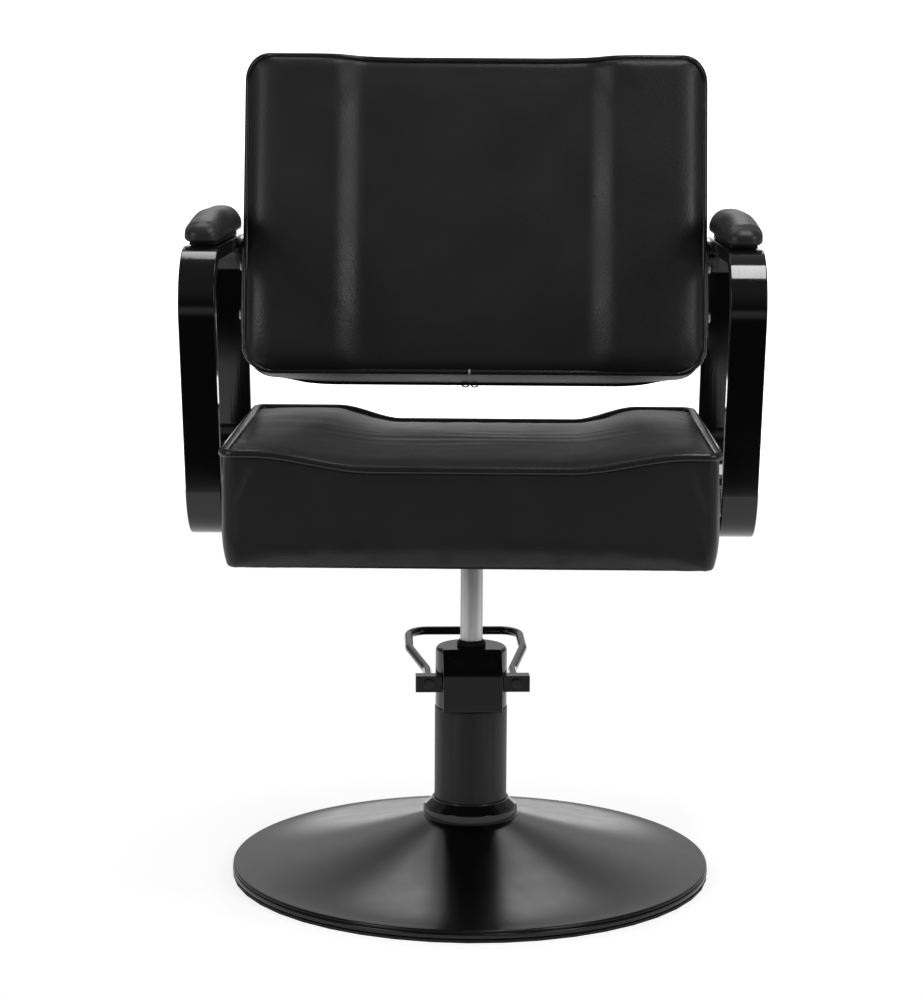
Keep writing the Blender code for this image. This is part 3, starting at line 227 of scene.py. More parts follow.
def rounded(x, y, half_x, half_y, corner):
    """Draws the corner squares of a rectangle in to quarter discs."""
    over_x = (abs(x) - half_x + corner) / corner
    over_y = (abs(y) - half_y + corner) / corner
    if over_x <= 0 or over_y <= 0:
        return x, y
    disc_x = over_x * math.sqrt(1 - over_y * over_y / 2)
    disc_y = over_y * math.sqrt(1 - over_x * over_x / 2)
    return (math.copysign(half_x - corner + corner * disc_x, x),
            math.copysign(half_y - corner + corner * disc_y, y))


def padded_skin(half, corner, rows, cells, form, seam=True):
    """Points and faces of a padded box, and the points that are sewn or glued down.

    rows of (inset, level) go up its sides, a grid of cells closes it at the first row and at the
    last, and form(x, y, level, row) puts each point in its place. The first grid is held down, and
    with a seam so is the rim of the last.
    """
    index, faces = {}, []
    counts = (*cells, len(rows) - 1)
    for axis, first, second in ((0, 1, 2), (1, 2, 0), (2, 0, 1)):
        for end in (0, counts[axis]):
            for i in range(counts[first]):
                for j in range(counts[second]):
                    face = []
                    for step in ((0, 0), (1, 0), (1, 1), (0, 1)):
                        cell = [0, 0, 0]
                        cell[axis], cell[first], cell[second] = end, i + step[0], j + step[1]
                        face.append(index.setdefault(tuple(cell), len(index)))
                    faces.append(face if end else face[::-1])
    points = []
    for i, j, k in index:
        inset, level = rows[k]
        place = []
        for at, count, reach in ((i, cells[0], half[0] - inset), (j, cells[1], half[1] - inset)):
            share = 2 * at / count - 1
            place.append((share + math.sin(math.pi / 2 * share)) / 2 * reach)
        reach_x, reach_y = half[0] - inset, half[1] - inset
        x, y = rounded(*place, reach_x, reach_y, max(corner - inset, corner / 3))
        points.append(form(x, y, level, k))
    ends = [(0, count) for count in counts]
    held = [at for at, (i, j, k) in enumerate(index)
            if k == 0 or seam and k == counts[2] and (i in ends[0] or j in ends[1])]
    return (points, faces), held


def arc_rows(radius, first, last, steps):
    """(inset, rise) along a quarter round, angles in degrees from the flat end to the side."""
    angles = [math.radians(first + (last - first) * k / steps) for k in range(steps + 1)]
    return [(radius * (1 - math.sin(angle)), radius * (1 - math.cos(angle))) for angle in angles]


def joined(shapes):
    """Points and faces of several shapes as one."""
    points, faces = [], []
    for more, sides in shapes:
        faces += [[at + len(points) for at in side] for side in sides]
        points += more
    return points, faces


def solid_mesh(name, shape, place):
    """A mesh of points and faces in their place, with its faces turned outwards."""
    points, faces = shape
    mesh = bpy.data.meshes.new(name)
    mesh.from_pydata([place @ Vector(point) for point in points], [], faces)
    solid = bmesh.new()
    solid.from_mesh(mesh)
    bmesh.ops.recalc_face_normals(solid, faces=solid.faces)
    solid.to_mesh(mesh)
    solid.free()
    return mesh


def piece(name, shape, recipe, body, replaced=(), sharp=35, place=UNMOVED):
    """A named piece in its finish that rides on a body and takes the place of CAD nodes."""
    mesh = solid_mesh(name, shape, place)
    mesh.shade_smooth()
    mesh.set_sharp_from_angle(angle=math.radians(sharp))
    mesh.materials.append(finish(recipe))
    obj = bpy.data.objects.new(name, mesh)
    bpy.context.scene.collection.objects.link(obj)
    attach(obj, body)
    if replaced:
        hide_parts(*replaced)
    return obj


def baked(obj):
    """Applies the modifiers of a piece."""
    bpy.context.view_layer.update()
    graph = bpy.context.evaluated_depsgraph_get()
    made = bpy.data.meshes.new_from_object(obj.evaluated_get(graph))
    obj.modifiers.clear()
    obj.data = made
    return obj


def stuffed(obj, held, room, slack):
    """Blows a cover up between its held points with a cloth simulation.

    slack is the share that the cloth is cut too long, and no point moves further than room.
    """
    scene = bpy.context.scene
    obj.vertex_groups.new(name="held").add(held, 1.0, "REPLACE")
    cloth = obj.modifiers.new("Stuffing", "CLOTH")
    cloth.settings.vertex_group_mass = "held"
    cloth.settings.use_pressure = True
    cloth.settings.uniform_pressure_force = STUFFING_PRESSURE
    cloth.settings.shrink_min = -slack
    cloth.settings.effector_weights.gravity = 0
    cloth.collision_settings.use_collision = False
    for number in range(1, STUFFING_FRAMES + 1):
        scene.frame_set(number)
    graph = bpy.context.evaluated_depsgraph_get()
    blown = [vert.co.copy() for vert in obj.evaluated_get(graph).data.vertices]
    obj.modifiers.remove(cloth)
    obj.vertex_groups.clear()
    scene.frame_set(1)
    for vert, place in zip(obj.data.vertices, blown):
        move = place - vert.co
        vert.co += move.normalized() * room * math.tanh(move.length / room)
    obj.data.update()
    return obj


def evened(obj, sharp=35):
    """Shades a piece smooth between its sharp edges, with its flats truly flat."""
    obj.data.shade_smooth()
    obj.data.set_sharp_from_angle(angle=math.radians(sharp))
    obj.modifiers.new("Evened", "WEIGHTED_NORMAL").keep_sharp = True
    return baked(obj)


def subdivided(obj):
    """A cover made finer and smooth all over."""
    obj.modifiers.new("Smooth", "SUBSURF").levels = 1
    baked(obj).data.shade_smooth()
    return obj


def cut(obj, shape, place=UNMOVED, operation="DIFFERENCE"):
    """Cuts or joins a helper solid, which goes away again."""
    helper = bpy.data.objects.new("cutter", solid_mesh("cutter", shape, place))
    bpy.context.scene.collection.objects.link(helper)
    modifier = obj.modifiers.new("Cut", "BOOLEAN")
    modifier.operation = operation
    modifier.object = helper
    baked(obj)
    bpy.data.objects.remove(helper)


def drill(obj, radius, start, end, place=UNMOVED, steps=48):
    """Bores a plain round hole from one point to another."""
    start, end = Vector(start), Vector(end)
    normal = (end - start).orthogonal().normalized()
    cut(obj, swept([start, end], circle(radius, steps), normal, False), place)


# Finishes

def add_node(tree, kind, inputs=None, **settings):
    """A node with its settings; an input given as a socket is linked, any other is set."""
    made = tree.nodes.new("ShaderNode" + kind)
    for name, value in settings.items():
        setattr(made, name, value)
    for key, value in (inputs or {}).items():
        if isinstance(value, bpy.types.NodeSocket):
            tree.links.new(value, made.inputs[key])
        else:
            made.inputs[key].default_value = value
    return made


def finish(recipe):
    """The material that a recipe makes, made once."""
    found = bpy.data.materials.get(recipe.__name__)
    if found:
        return found
    made = bpy.data.materials.new(recipe.__name__)
    made.use_nodes = True
    tree = made.node_tree
    tree.nodes.clear()
    where = add_node(tree, "TexCoord").outputs["Object"]
    shader = recipe(tree, where, bpy.context.scene.chair_colours)
    add_node(tree, "OutputMaterial", {"Surface": shader.outputs[0]})
    return made


def per_metre(millimetres):
    """Texture scale for a pattern of this size, in object coordinates of metres."""
    return 1000 / millimetres


def shade_of(colour, share):
    """A colour made darker or lighter by a share."""
    return (*(channel * share for channel in colour), 1.0)


def mottled(tree, where, colour, spread, millimetres):
    """Base colour that drifts a little to each side of its value, as hand-finished work does."""
    drift = add_node(tree, "TexNoise", {"Vector": where, "Scale": per_metre(millimetres), "Detail": 3.0})
    return add_node(tree, "Mix", {0: drift.outputs["Fac"], 6: shade_of(colour, 1 - spread),
                                  7: shade_of(colour, 1 + spread)}, data_type="RGBA").outputs[2]


def leatherette(tree, where, colours, low_gloss, high_gloss, relief):
    """PVC-coated cloth with a fine embossed pebble, rougher where it is handled less."""
    # The real pebble is about 0.7 mm; it is drawn at 2.4 mm so that it shows.
    pebble = add_node(tree, "TexVoronoi", {"Vector": where, "Scale": per_metre(2.4)})
    creases = add_node(tree, "TexNoise", {"Vector": where, "Scale": per_metre(7.0), "Detail": 4.0})
    grain = add_node(tree, "Math", {0: pebble.outputs["Distance"], 1: creases.outputs["Fac"]},
                     operation="ADD")
    bump = add_node(tree, "Bump", {"Height": grain.outputs[0], "Strength": relief, "Distance": 0.0002})
    handled = add_node(tree, "TexNoise", {"Vector": where, "Scale": per_metre(70.0), "Detail": 3.0})
    gloss = add_node(tree, "MapRange", {"Value": handled.outputs["Fac"], "From Min": 0.3, "From Max": 0.7,
                                        "To Min": low_gloss, "To Max": high_gloss})
    return add_node(tree, "BsdfPrincipled", {
        "Base Color": mottled(tree, where, colours.leatherette, 0.12, 40.0),
        "Roughness": gloss.outputs["Result"], "IOR": 1.5, "Sheen Weight": 0.05,
        "Sheen Roughness": 0.4, "Normal": bump.outputs["Normal"]})


def leatherette_embossed_pvc(tree, where, colours):
    """The cover of seat and back: satin, with soft wide highlights."""
    return leatherette(tree, where, colours, 0.36, 0.45, 0.6)


def leatherette_stretched_pvc(tree, where, colours):
    """The same cloth pulled tight over the pads: its pebble is flattened and its lacquer shines more."""
    shader = leatherette(tree, where, colours, 0.38, 0.48, 0.2)
    shader.inputs["Coat Weight"].default_value = 0.25
    shader.inputs["Coat Roughness"].default_value = 0.45
    return shader


def leatherette_piping_pvc(tree, where, colours):
    """A strip of the cloth wrapped tight on cord: smooth, with a thin bright line along it."""
    return leatherette(tree, where, colours, 0.22, 0.32, 0.1)


def felt_black_nonwoven(tree, where, colours):
    """Spun-bonded dust cover under the seat: matt black with a fibrous, slightly open face."""
    fibre = add_node(tree, "TexNoise", {"Vector": where, "Scale": per_metre(1.5), "Detail": 6.0})
    bump = add_node(tree, "Bump", {"Height": fibre.outputs["Fac"], "Strength": 0.5, "Distance": 0.0003})
    return add_node(tree, "BsdfPrincipled", {
        "Base Color": mottled(tree, where, colours.rubber, 0.3, 3.0), "Roughness": 0.9, "Sheen Weight": 0.1,
        "Normal": bump.outputs["Normal"]})


def pale_joint_painted_highlight(tree, where, colours):
    """A painted highlight where the front piping closes: a dull off-white band with a twist."""
    twist = add_node(tree, "TexNoise", {"Vector": where, "Scale": per_metre(0.8), "Detail": 3.0})
    tone = add_node(tree, "Mix", {0: twist.outputs["Fac"], 6: shade_of(colours.thread, 0.8),
                                  7: shade_of(colours.thread, 1.05)}, data_type="RGBA")
    return add_node(tree, "BsdfPrincipled", {"Base Color": tone.outputs[2], "Roughness": 0.85})


def enamel_gloss_black(tree, where, colours):
    """Stoved gloss enamel on flat bar: sharp reflections with a trace of orange peel."""
    peel = add_node(tree, "TexNoise", {"Vector": where, "Scale": per_metre(9.0), "Detail": 1.0})
    bump = add_node(tree, "Bump", {"Height": peel.outputs["Fac"], "Strength": 0.2, "Distance": 0.00012})
    wiped = add_node(tree, "TexNoise", {"Vector": where, "Scale": per_metre(45.0), "Detail": 4.0})
    gloss = add_node(tree, "MapRange", {"Value": wiped.outputs["Fac"], "To Min": 0.05, "To Max": 0.13})
    return add_node(tree, "BsdfPrincipled", {
        "Base Color": mottled(tree, where, colours.enamel, 0.2, 30.0), "Roughness": gloss.outputs["Result"],
        "IOR": 1.5, "Normal": bump.outputs["Normal"]})


def enamel_flat_bar(tree, where, colours):
    """Gloss enamel over drawn flat bar: the steel's drawing lines show through along the bar."""
    # Drawing lines of 0.5 mm are drawn 4 mm apart so that they show.
    along = add_node(tree, "Mapping", {"Vector": where, "Scale": (per_metre(4.0), 7.0, 7.0)})
    lines = add_node(tree, "TexNoise", {"Vector": along.outputs["Vector"], "Scale": 1.0, "Detail": 2.0})
    bump = add_node(tree, "Bump", {"Height": lines.outputs["Fac"], "Strength": 0.35, "Distance": 0.0002})
    wiped = add_node(tree, "TexNoise", {"Vector": where, "Scale": per_metre(45.0), "Detail": 4.0})
    gloss = add_node(tree, "MapRange", {"Value": wiped.outputs["Fac"], "To Min": 0.06, "To Max": 0.16})
    return add_node(tree, "BsdfPrincipled", {
        "Base Color": mottled(tree, where, colours.enamel, 0.2, 30.0), "Roughness": gloss.outputs["Result"],
        "IOR": 1.5, "Normal": bump.outputs["Normal"]})


def enamel_spun_dish(tree, where, colours):
    """Enamel over spun steel: blurred reflections and faint rings left by the spinning tool."""
    flat = add_node(tree, "VectorMath", {0: where, 1: (1.0, 1.0, 0.0)}, operation="MULTIPLY")
    reach = add_node(tree, "VectorMath", {0: flat.outputs["Vector"]}, operation="LENGTH")
    # Tool marks of about 1 mm are drawn 5 mm wide so that they show.
    rings = add_node(tree, "TexNoise", {"W": reach.outputs["Value"], "Scale": per_metre(5.0), "Detail": 2.0},
                     noise_dimensions="1D")
    bump = add_node(tree, "Bump", {"Height": rings.outputs["Fac"], "Strength": 0.1, "Distance": 0.00008})
    dust = add_node(tree, "TexNoise", {"Vector": where, "Scale": per_metre(25.0), "Detail": 5.0})
    gloss = add_node(tree, "MapRange", {"Value": dust.outputs["Fac"], "To Min": 0.17, "To Max": 0.27})
    return add_node(tree, "BsdfPrincipled", {
        "Base Color": mottled(tree, where, colours.dish, 0.15, 60.0), "Roughness": gloss.outputs["Result"],
        "IOR": 1.5, "Normal": bump.outputs["Normal"]})


def paint_satin_black(tree, where, colours):
    """Satin coat on drawn steel: dark grey with a fine grit and faint streaks up its length."""
    # Powder grit of 0.3 mm is drawn at 1.2 mm so that it shows.
    grit = add_node(tree, "TexNoise", {"Vector": where, "Scale": per_metre(1.2), "Detail": 2.0})
    bump = add_node(tree, "Bump", {"Height": grit.outputs["Fac"], "Strength": 0.2, "Distance": 0.0001})
    gloss = add_node(tree, "MapRange", {"Value": grit.outputs["Fac"], "To Min": 0.38, "To Max": 0.48})
    upright = add_node(tree, "Mapping", {"Vector": where, "Scale": (per_metre(9.0), per_metre(9.0), 2.0)})
    drawn = add_node(tree, "TexNoise", {"Vector": upright.outputs["Vector"], "Scale": 1.0, "Detail": 2.0})
    streak = add_node(tree, "MapRange", {"Value": drawn.outputs["Fac"], "From Min": 0.35, "From Max": 0.65})
    tone = add_node(tree, "Mix", {0: streak.outputs["Result"], 6: shade_of(colours.satin, 0.6),
                                  7: shade_of(colours.satin, 1.4)}, data_type="RGBA")
    return add_node(tree, "BsdfPrincipled", {
        "Base Color": tone.outputs[2], "Roughness": gloss.outputs["Result"],
        "IOR": 1.5, "Normal": bump.outputs["Normal"]})


def casting_painted_black(tree, where, colours):
    """Gloss paint over a machined iron casting: the skin stays a little uneven under the paint."""
    skin = add_node(tree, "TexNoise", {"Vector": where, "Scale": per_metre(6.0), "Detail": 3.0})
    bump = add_node(tree, "Bump", {"Height": skin.outputs["Fac"], "Strength": 0.2, "Distance": 0.0002})
    gloss = add_node(tree, "MapRange", {"Value": skin.outputs["Fac"], "To Min": 0.08, "To Max": 0.18})
    return add_node(tree, "BsdfPrincipled", {
        "Base Color": mottled(tree, where, colours.casting, 0.15, 15.0), "Roughness": gloss.outputs["Result"],
        "IOR": 1.5, "Normal": bump.outputs["Normal"]})


def steel_ground_bright(tree, where, colours):
    """Centreless-ground steel rod: fine scratches round it that smear reflections up and down, and painted
    reflections as lighter and darker bands up its length.
    """
    # Grinding marks of 0.05 mm are drawn 0.8 mm apart so that they show.
    around = add_node(tree, "Mapping", {"Vector": where, "Scale": (60.0, 60.0, per_metre(0.8))})
    marks = add_node(tree, "TexNoise", {"Vector": around.outputs["Vector"], "Scale": 1.0, "Detail": 3.0})
    # Painted reflections: lighter and darker bands run up the rod in its base colour.
    streaks = add_node(tree, "Mapping", {"Vector": where, "Location": (3.7, 1.3, 0.0),
                                         "Scale": (-per_metre(3.0), per_metre(3.0), 2.0)})
    drawn = add_node(tree, "TexNoise", {"Vector": streaks.outputs["Vector"], "Scale": 1.0, "Detail": 2.0})
    streak = add_node(tree, "MapRange", {"Value": drawn.outputs["Fac"], "From Min": 0.35, "From Max": 0.65})
    tone = add_node(tree, "Mix", {0: streak.outputs["Result"], 6: shade_of(colours.steel, 0.62),
                                  7: shade_of(colours.steel, 1.1)}, data_type="RGBA")
    bump = add_node(tree, "Bump", {"Height": marks.outputs["Fac"], "Strength": 0.3, "Distance": 0.00005})
    gloss = add_node(tree, "MapRange", {"Value": marks.outputs["Fac"], "To Min": 0.42, "To Max": 0.56})
    return add_node(tree, "BsdfPrincipled", {
        "Base Color": tone.outputs[2], "Metallic": 1.0, "Roughness": gloss.outputs["Result"],
        "Anisotropic": 0.4, "Normal": bump.outputs["Normal"]})


def steel_zinc_plated(tree, where, colours):
    """Zinc-plated fasteners: a pale grey metal, slightly cloudy."""
    cloud = add_node(tree, "TexNoise", {"Vector": where, "Scale": per_metre(3.0), "Detail": 4.0})
    gloss = add_node(tree, "MapRange", {"Value": cloud.outputs["Fac"], "To Min": 0.3, "To Max": 0.5})
    return add_node(tree, "BsdfPrincipled", {
        "Base Color": mottled(tree, where, colours.zinc, 0.15, 4.0), "Metallic": 1.0,
        "Roughness": gloss.outputs["Result"]})


def steel_plain_oiled(tree, where, colours):
    """Mill-finish steel with a film of oil: dark, streaky and dull."""
    rolled = add_node(tree, "Mapping", {"Vector": where, "Scale": (per_metre(3.0), per_metre(40.0), 100.0)})
    scale = add_node(tree, "TexNoise", {"Vector": rolled.outputs["Vector"], "Scale": 1.0, "Detail": 4.0})
    tone = add_node(tree, "Mix", {0: scale.outputs["Fac"], 6: shade_of(colours.zinc, 0.35),
                                  7: shade_of(colours.zinc, 0.6)}, data_type="RGBA")
    gloss = add_node(tree, "MapRange", {"Value": scale.outputs["Fac"], "To Min": 0.35, "To Max": 0.6})
    return add_node(tree, "BsdfPrincipled", {
        "Base Color": tone.outputs[2], "Metallic": 1.0, "Roughness": gloss.outputs["Result"]})


def bronze_sintered(tree, where, colours):
    """Pressed and sintered bronze bush: dull brown metal with open pores."""
    pores = add_node(tree, "TexVoronoi", {"Vector": where, "Scale": per_metre(0.8)})
    bump = add_node(tree, "Bump", {"Height": pores.outputs["Distance"], "Strength": 0.3, "Distance": 0.0001})
    return add_node(tree, "BsdfPrincipled", {
        "Base Color": mottled(tree, where, colours.bronze, 0.2, 2.0), "Metallic": 1.0, "Roughness": 0.5,
        "Normal": bump.outputs["Normal"]})


def rubber_black_moulded(tree, where, colours):
    """Moulded rubber: matt and nearly black, with a dusty bloom."""
    bloom = add_node(tree, "TexNoise", {"Vector": where, "Scale": per_metre(8.0), "Detail": 5.0})
    gloss = add_node(tree, "MapRange", {"Value": bloom.outputs["Fac"], "To Min": 0.5, "To Max": 0.8})
    return add_node(tree, "BsdfPrincipled", {
        "Base Color": mottled(tree, where, colours.rubber, 0.25, 10.0), "Roughness": gloss.outputs["Result"],
        "IOR": 1.52})


def plywood_birch(tree, where, colours):
    """Birch plywood: pale straight grain."""
    along = add_node(tree, "Mapping", {"Vector": where, "Scale": (8.0, per_metre(4.0), per_metre(4.0))})
    grain = add_node(tree, "TexNoise", {"Vector": along.outputs["Vector"], "Scale": 1.0, "Detail": 5.0})
    tone = add_node(tree, "Mix", {0: grain.outputs["Fac"], 6: shade_of(colours.plywood, 0.75),
                                  7: shade_of(colours.plywood, 1.15)}, data_type="RGBA")
    return add_node(tree, "BsdfPrincipled", {"Base Color": tone.outputs[2], "Roughness": 0.65})


def paper_white_floor(tree, where, colours):
    """White paper sweep: plain white to the eye, dimmer in reflections, and it takes the shadow."""
    studio = bpy.context.scene.chair_studio
    path = add_node(tree, "LightPath")
    mirrored = add_node(tree, "Math", {0: path.outputs["Is Glossy Ray"], 1: studio.floor_gloss},
                        operation="MULTIPLY")
    seen = add_node(tree, "Math", {0: path.outputs["Is Camera Ray"], 1: mirrored.outputs[0]},
                    operation="MAXIMUM")
    seen = add_node(tree, "Math", {0: seen.outputs[0], 1: path.outputs["Is Transmission Ray"]},
                    operation="MAXIMUM")
    fibre = add_node(tree, "TexNoise", {"Vector": where, "Scale": per_metre(60.0), "Detail": 4.0})
    tone = add_node(tree, "Mix", {0: fibre.outputs["Fac"], 6: shade_of(colours.floor, 0.98),
                                  7: shade_of(colours.floor, 1.0)}, data_type="RGBA")
    paper = add_node(tree, "BsdfDiffuse", {"Color": tone.outputs[2]})
    glow = add_node(tree, "Math", {0: seen.outputs[0], 1: studio.floor_lift}, operation="MULTIPLY")
    white = add_node(tree, "Emission", {"Strength": glow.outputs[0]})
    near = add_node(tree, "AddShader", {0: paper.outputs[0], 1: white.outputs[0]})
    away = add_node(tree, "VectorMath", {0: where}, operation="LENGTH")
    far = add_node(tree, "MapRange", {"Value": away.outputs["Value"], "From Min": 0.29, "From Max": 0.48},
                   interpolation_type="SMOOTHSTEP")
    plain = add_node(tree, "Math", {0: far.outputs["Result"], 1: seen.outputs[0]}, operation="MULTIPLY")
    backdrop = add_node(tree, "Emission", {"Strength": 1.0})
    return add_node(tree, "MixShader", {0: plain.outputs[0], 1: near.outputs[0], 2: backdrop.outputs[0]})


# Settings

def number(name, description, default, **kind):
    return FloatProperty(name=name, description=description, default=default, **kind)


def length(name, description, default):
    return number(name, description, default, precision=4, unit="LENGTH")


def angle(name, description, degrees):
    return number(name, description, math.radians(degrees), subtype="ANGLE")


def colour(name, description, code):
    return FloatVectorProperty(name=name, description=description, default=linear(code), subtype="COLOR",
                               size=3, min=0.0, max=1.0)


def start(node, axis):
    """The nearest place of a node of the frame along an axis."""
    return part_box(node)[0][axis]


def reach(node, axis):
    """The furthest place of a node of the frame along an axis."""
    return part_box(node)[1][axis]


class ChairColours(PropertyGroup):
    """Colours of the finishes"""
    leatherette: colour("Leatherette", "Covers, piping and pads", "222222")
    enamel: colour("Gloss enamel", "Arm loops, collar and lever", "131313")
    dish: colour("Dish enamel", "The spun base", "060606")
    satin: colour("Satin paint", "Pump tube, brackets and seat plate", "232323")
    casting: colour("Casting paint", "The pump's head", "151515")
    steel: colour("Ground steel", "The lifting rod", "E6E6E6")
    zinc: colour("Zinc plate", "Bolts and screws", "9C9EA0")
    bronze: colour("Bronze", "Bushes and the thrust washer", "8A6A45")
    rubber: colour("Rubber", "Wiper and floor ring", "0E0E0E")
    plywood: colour("Plywood", "Seat tray and back board", "B79468")
    # thread is the colour of the painted highlight on the front piping's joint
    thread: colour("Thread", "Cord end at the back's piping joint", "D8D4CC")
    floor: colour("Floor", "The paper under the chair", "C8C8C8")


class ChairStudio(PropertyGroup):
    """View, floor and light of the room"""
    distance: length("Distance", "Camera to the chair's axis, level", 3.0)
    height: length("Height", "Camera above the floor", 0.903)
    azimuth: angle("Azimuth", "Camera's turn to the chair's left hand", 0.5)
    pan: angle("Pan", "Camera's turn off the chair's axis", 0.24)
    tilt: angle("Tilt", "Camera's tilt below level", 8.74)
    roll: angle("Roll", "Camera's roll about its view", 0.35)
    focal_pixels: number("Focal length", "In pixels of the photograph", 2615)
    floor_front: length("Floor's front edge", "In front of the chair's axis", 0.70)
    floor_lift: number("Floor lift", "White added to the floor as it is seen", 0.76)
    floor_gloss: number("Floor in reflections", "Share of that white in reflections", 0.6)
    low_level: number("Floor beyond", "Brightness of the room's floor beyond the paper", 0.4)
    front_level: number("Room light", "Brightness of the room before the chair", 0.14)
    back_level: number("Backdrop light", "Brightness of the white backdrop", 1.0)


class ChairBase(PropertyGroup):
    """Sizes of dish and collar"""
    radius: length("Radius", "Outside of the dish", reach("base_dish", 0))
    rim_height: length("Rim height", "Where the dish meets the rounded rim", 0.0145)
    rim_round: length("Rim round", "How far the rim stands beyond the dish's face", 0.006)
    bead: length("Rim bead", "Height of the bead rolled round the rim's foot", 0.0108)
    wall: length("Wall", "Thickness of the spun sheet", 0.0025)
    rise: length("Rise", "Dish from the rim up to the collar", 0.0525)
    power: number("Flare", "How much the dish steepens to the neck", 1.35)
    neck: length("Neck radius", "Hole of the dish and the collar", 0.0427)
    collar: length("Collar radius", "Flange of the collar", 0.0555)


class ChairPump(PropertyGroup):
    """Sizes of pump, rod and foot lever"""
    tube_radius: length("Tube radius", "Outside of the pump tube", 0.0424)
    tube_top: length("Tube top", "Joint of tube and head", reach("outer_tube", 2))
    head_radius: length("Head radius", "Round body of the head", 0.0418)
    head_top: length("Head top", "Top of the head", reach("pump_head", 2))
    head_round: length("Head edge", "Rounding of the head's top edge", 0.005)
    block_half: length("Block half width", "Square front of the head", 0.0345)
    block_front: length("Block front", "Front of the block before the axis", 0.047)
    slope_foot: length("Slope foot", "Where the block's front starts to slope", 0.243)
    slope_run: length("Slope run", "How far the slope goes back", 0.022)
    rod_radius: length("Rod radius", "The lifting rod", 0.013)
    shaft_forward: length("Shaft forward", "Cross shaft before the axis", 0.032)
    shaft_height: length("Shaft height", "Cross shaft above the floor", 0.2325)
    ear_side: length("Ear side", "Square section of the ears", 0.019)
    lever_radius: length("Lever radius", "Round rod of the foot lever", 0.00525)


class ChairSeat(PropertyGroup):
    """Sizes of the seat cushion"""
    half_width: length("Half width", "Seat at its top seam", 0.2655)
    front: length("Front", "Seat before the chair's axis", 0.248)
    back: length("Back", "Seat behind the chair's axis", 0.174)
    bottom: length("Underside", "Seat's underside above the floor", start("seat_cushion", 2))
    top: length("Top", "Seat's high sides above the floor", 0.528)
    corner: length("Corner", "Radius of the corners in plan", 0.013)
    draw_in: length("Draw-in", "How much narrower the foot is at each side", 0.0045)
    sag: length("Sag", "How far the cushion's edge hangs below its tray", 0.0045)
    dish: length("Dish", "Depth of the channel", 0.016)
    crown: length("Crown", "Swell of the channel from front to back", 0.004)
    channel_inner: length("Channel floor", "Half width of the channel's floor", 0.105)
    channel_back: length("Channel edge, back", "Half width to the high sides at the back", 0.182)
    drift: length("Channel drift", "How far the channel runs to one side towards the back", 0.016)
    channel_front: length("Channel edge, front", "Half width to the high sides at the front", 0.235)
    piping: length("Piping radius", "Piping round the seat's top", 0.0048)


class ChairArms(PropertyGroup):
    """Sizes of the arm loops and their pads"""
    middle: length("Middle", "Middle of the strip beside the chair's axis", 0.299)
    width: length("Width", "Flat bar across", 0.040)
    thickness: length("Thickness", "Flat bar through", 0.015)
    edge: length("Edge", "Rounding of the bar's edges", 0.0014)
    low: length("Low run", "Middle of the loop's lower run", start("arm_loop_left", 2) + 0.0075)
    high: length("High run", "Middle of the loop's upper run", reach("arm_loop_left", 2) - 0.0075)
    pad_front: length("Pad front", "Front end of the pad along the chair", start("arm_pad_left", 1) + 0.008)
    pad_back: length("Pad back", "Rear end of the pad along the chair", reach("arm_pad_left", 1))
    pad_width: length("Pad width", "Pad across", 0.043)
    pad_height: length("Pad height", "Pad over its base", 0.030)
    pad_drop: length("Pad drop", "How much lower the pad's front end is", 0.009)
    pad_panel: length("Pad end panel", "Seam of the end panel behind the pad's front", 0.013)


class ChairBack(PropertyGroup):
    """Sizes of the backrest"""
    half_width: length("Half width", "Backrest at its seams", 0.2735)
    top: length("Top", "Top seam up the leaning face", 0.385)
    height: length("Height", "Backrest from seam to seam", 0.378)
    depth: length("Depth", "Cushion from the front seam to the rear seam", 0.067)
    panel: length("Rear panel", "Thickness of the rear panel", 0.016)
    corner: length("Corner", "Radius of the corners", 0.030)
    bolster: length("Bolster", "Raised sides above the channel", 0.011)
    crown: length("Crown", "Swell of the channel", 0.004)
    edge_roll: length("Edge roll", "How far the face falls to its side seams", 0.036)
    top_roll: length("Top roll", "How far the face falls to its top seam", 0.010)
    foot_roll: length("Foot roll", "How far the face falls to its lower seam", 0.070)
    sag: length("Sag", "How much the top seam dips between the raised sides", 0.003)
    hang: length("Hang", "How much the lower rear seam hangs in its middle", 0.006)
    tuck: length("Tuck", "How far back the lower front seam sits", 0.014)
    bolster_inner: length("Bolster foot", "Where the channel ends", 0.132)
    bolster_outer: length("Bolster top", "Where the bolster is full", 0.170)


PUMP_FRAME = Matrix.Rotation(PUMP_HEADING, 4, "Z")
BACK_FRAME = Matrix.Translation((0, 0.082, 0.576)) @ Matrix.Rotation(-BACK_LEAN, 4, "X")


def placed(location, rotation):
    """The frame of a piece that stands turned at a place."""
    return Matrix.Translation(location) @ Euler(rotation).to_matrix().to_4x4()


def middle_of(node):
    """The middle of a node's box in the frame."""
    low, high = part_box(node)
    return (low + high) / 2


def fastener(node, head_radius, head_thick, radius, shank, place):
    """A bolt or screw in a node's place: a domed head with a socket, and its shank."""
    socket, socket_foot, dome = head_radius * 0.38, head_thick * 0.6, head_thick * 0.45
    crown = filleted([(socket, head_thick), (head_radius, head_thick), (head_radius, 0)], [0, dome, 0], 5,
                     False)
    profile = [(0, socket_foot), (socket, socket_foot), *crown, (radius, 0), (radius, -shank), (0, -shank)]
    piece(node + "_headed", turned(profile, 32), steel_zinc_plated, "seat", [node],
          place=place)


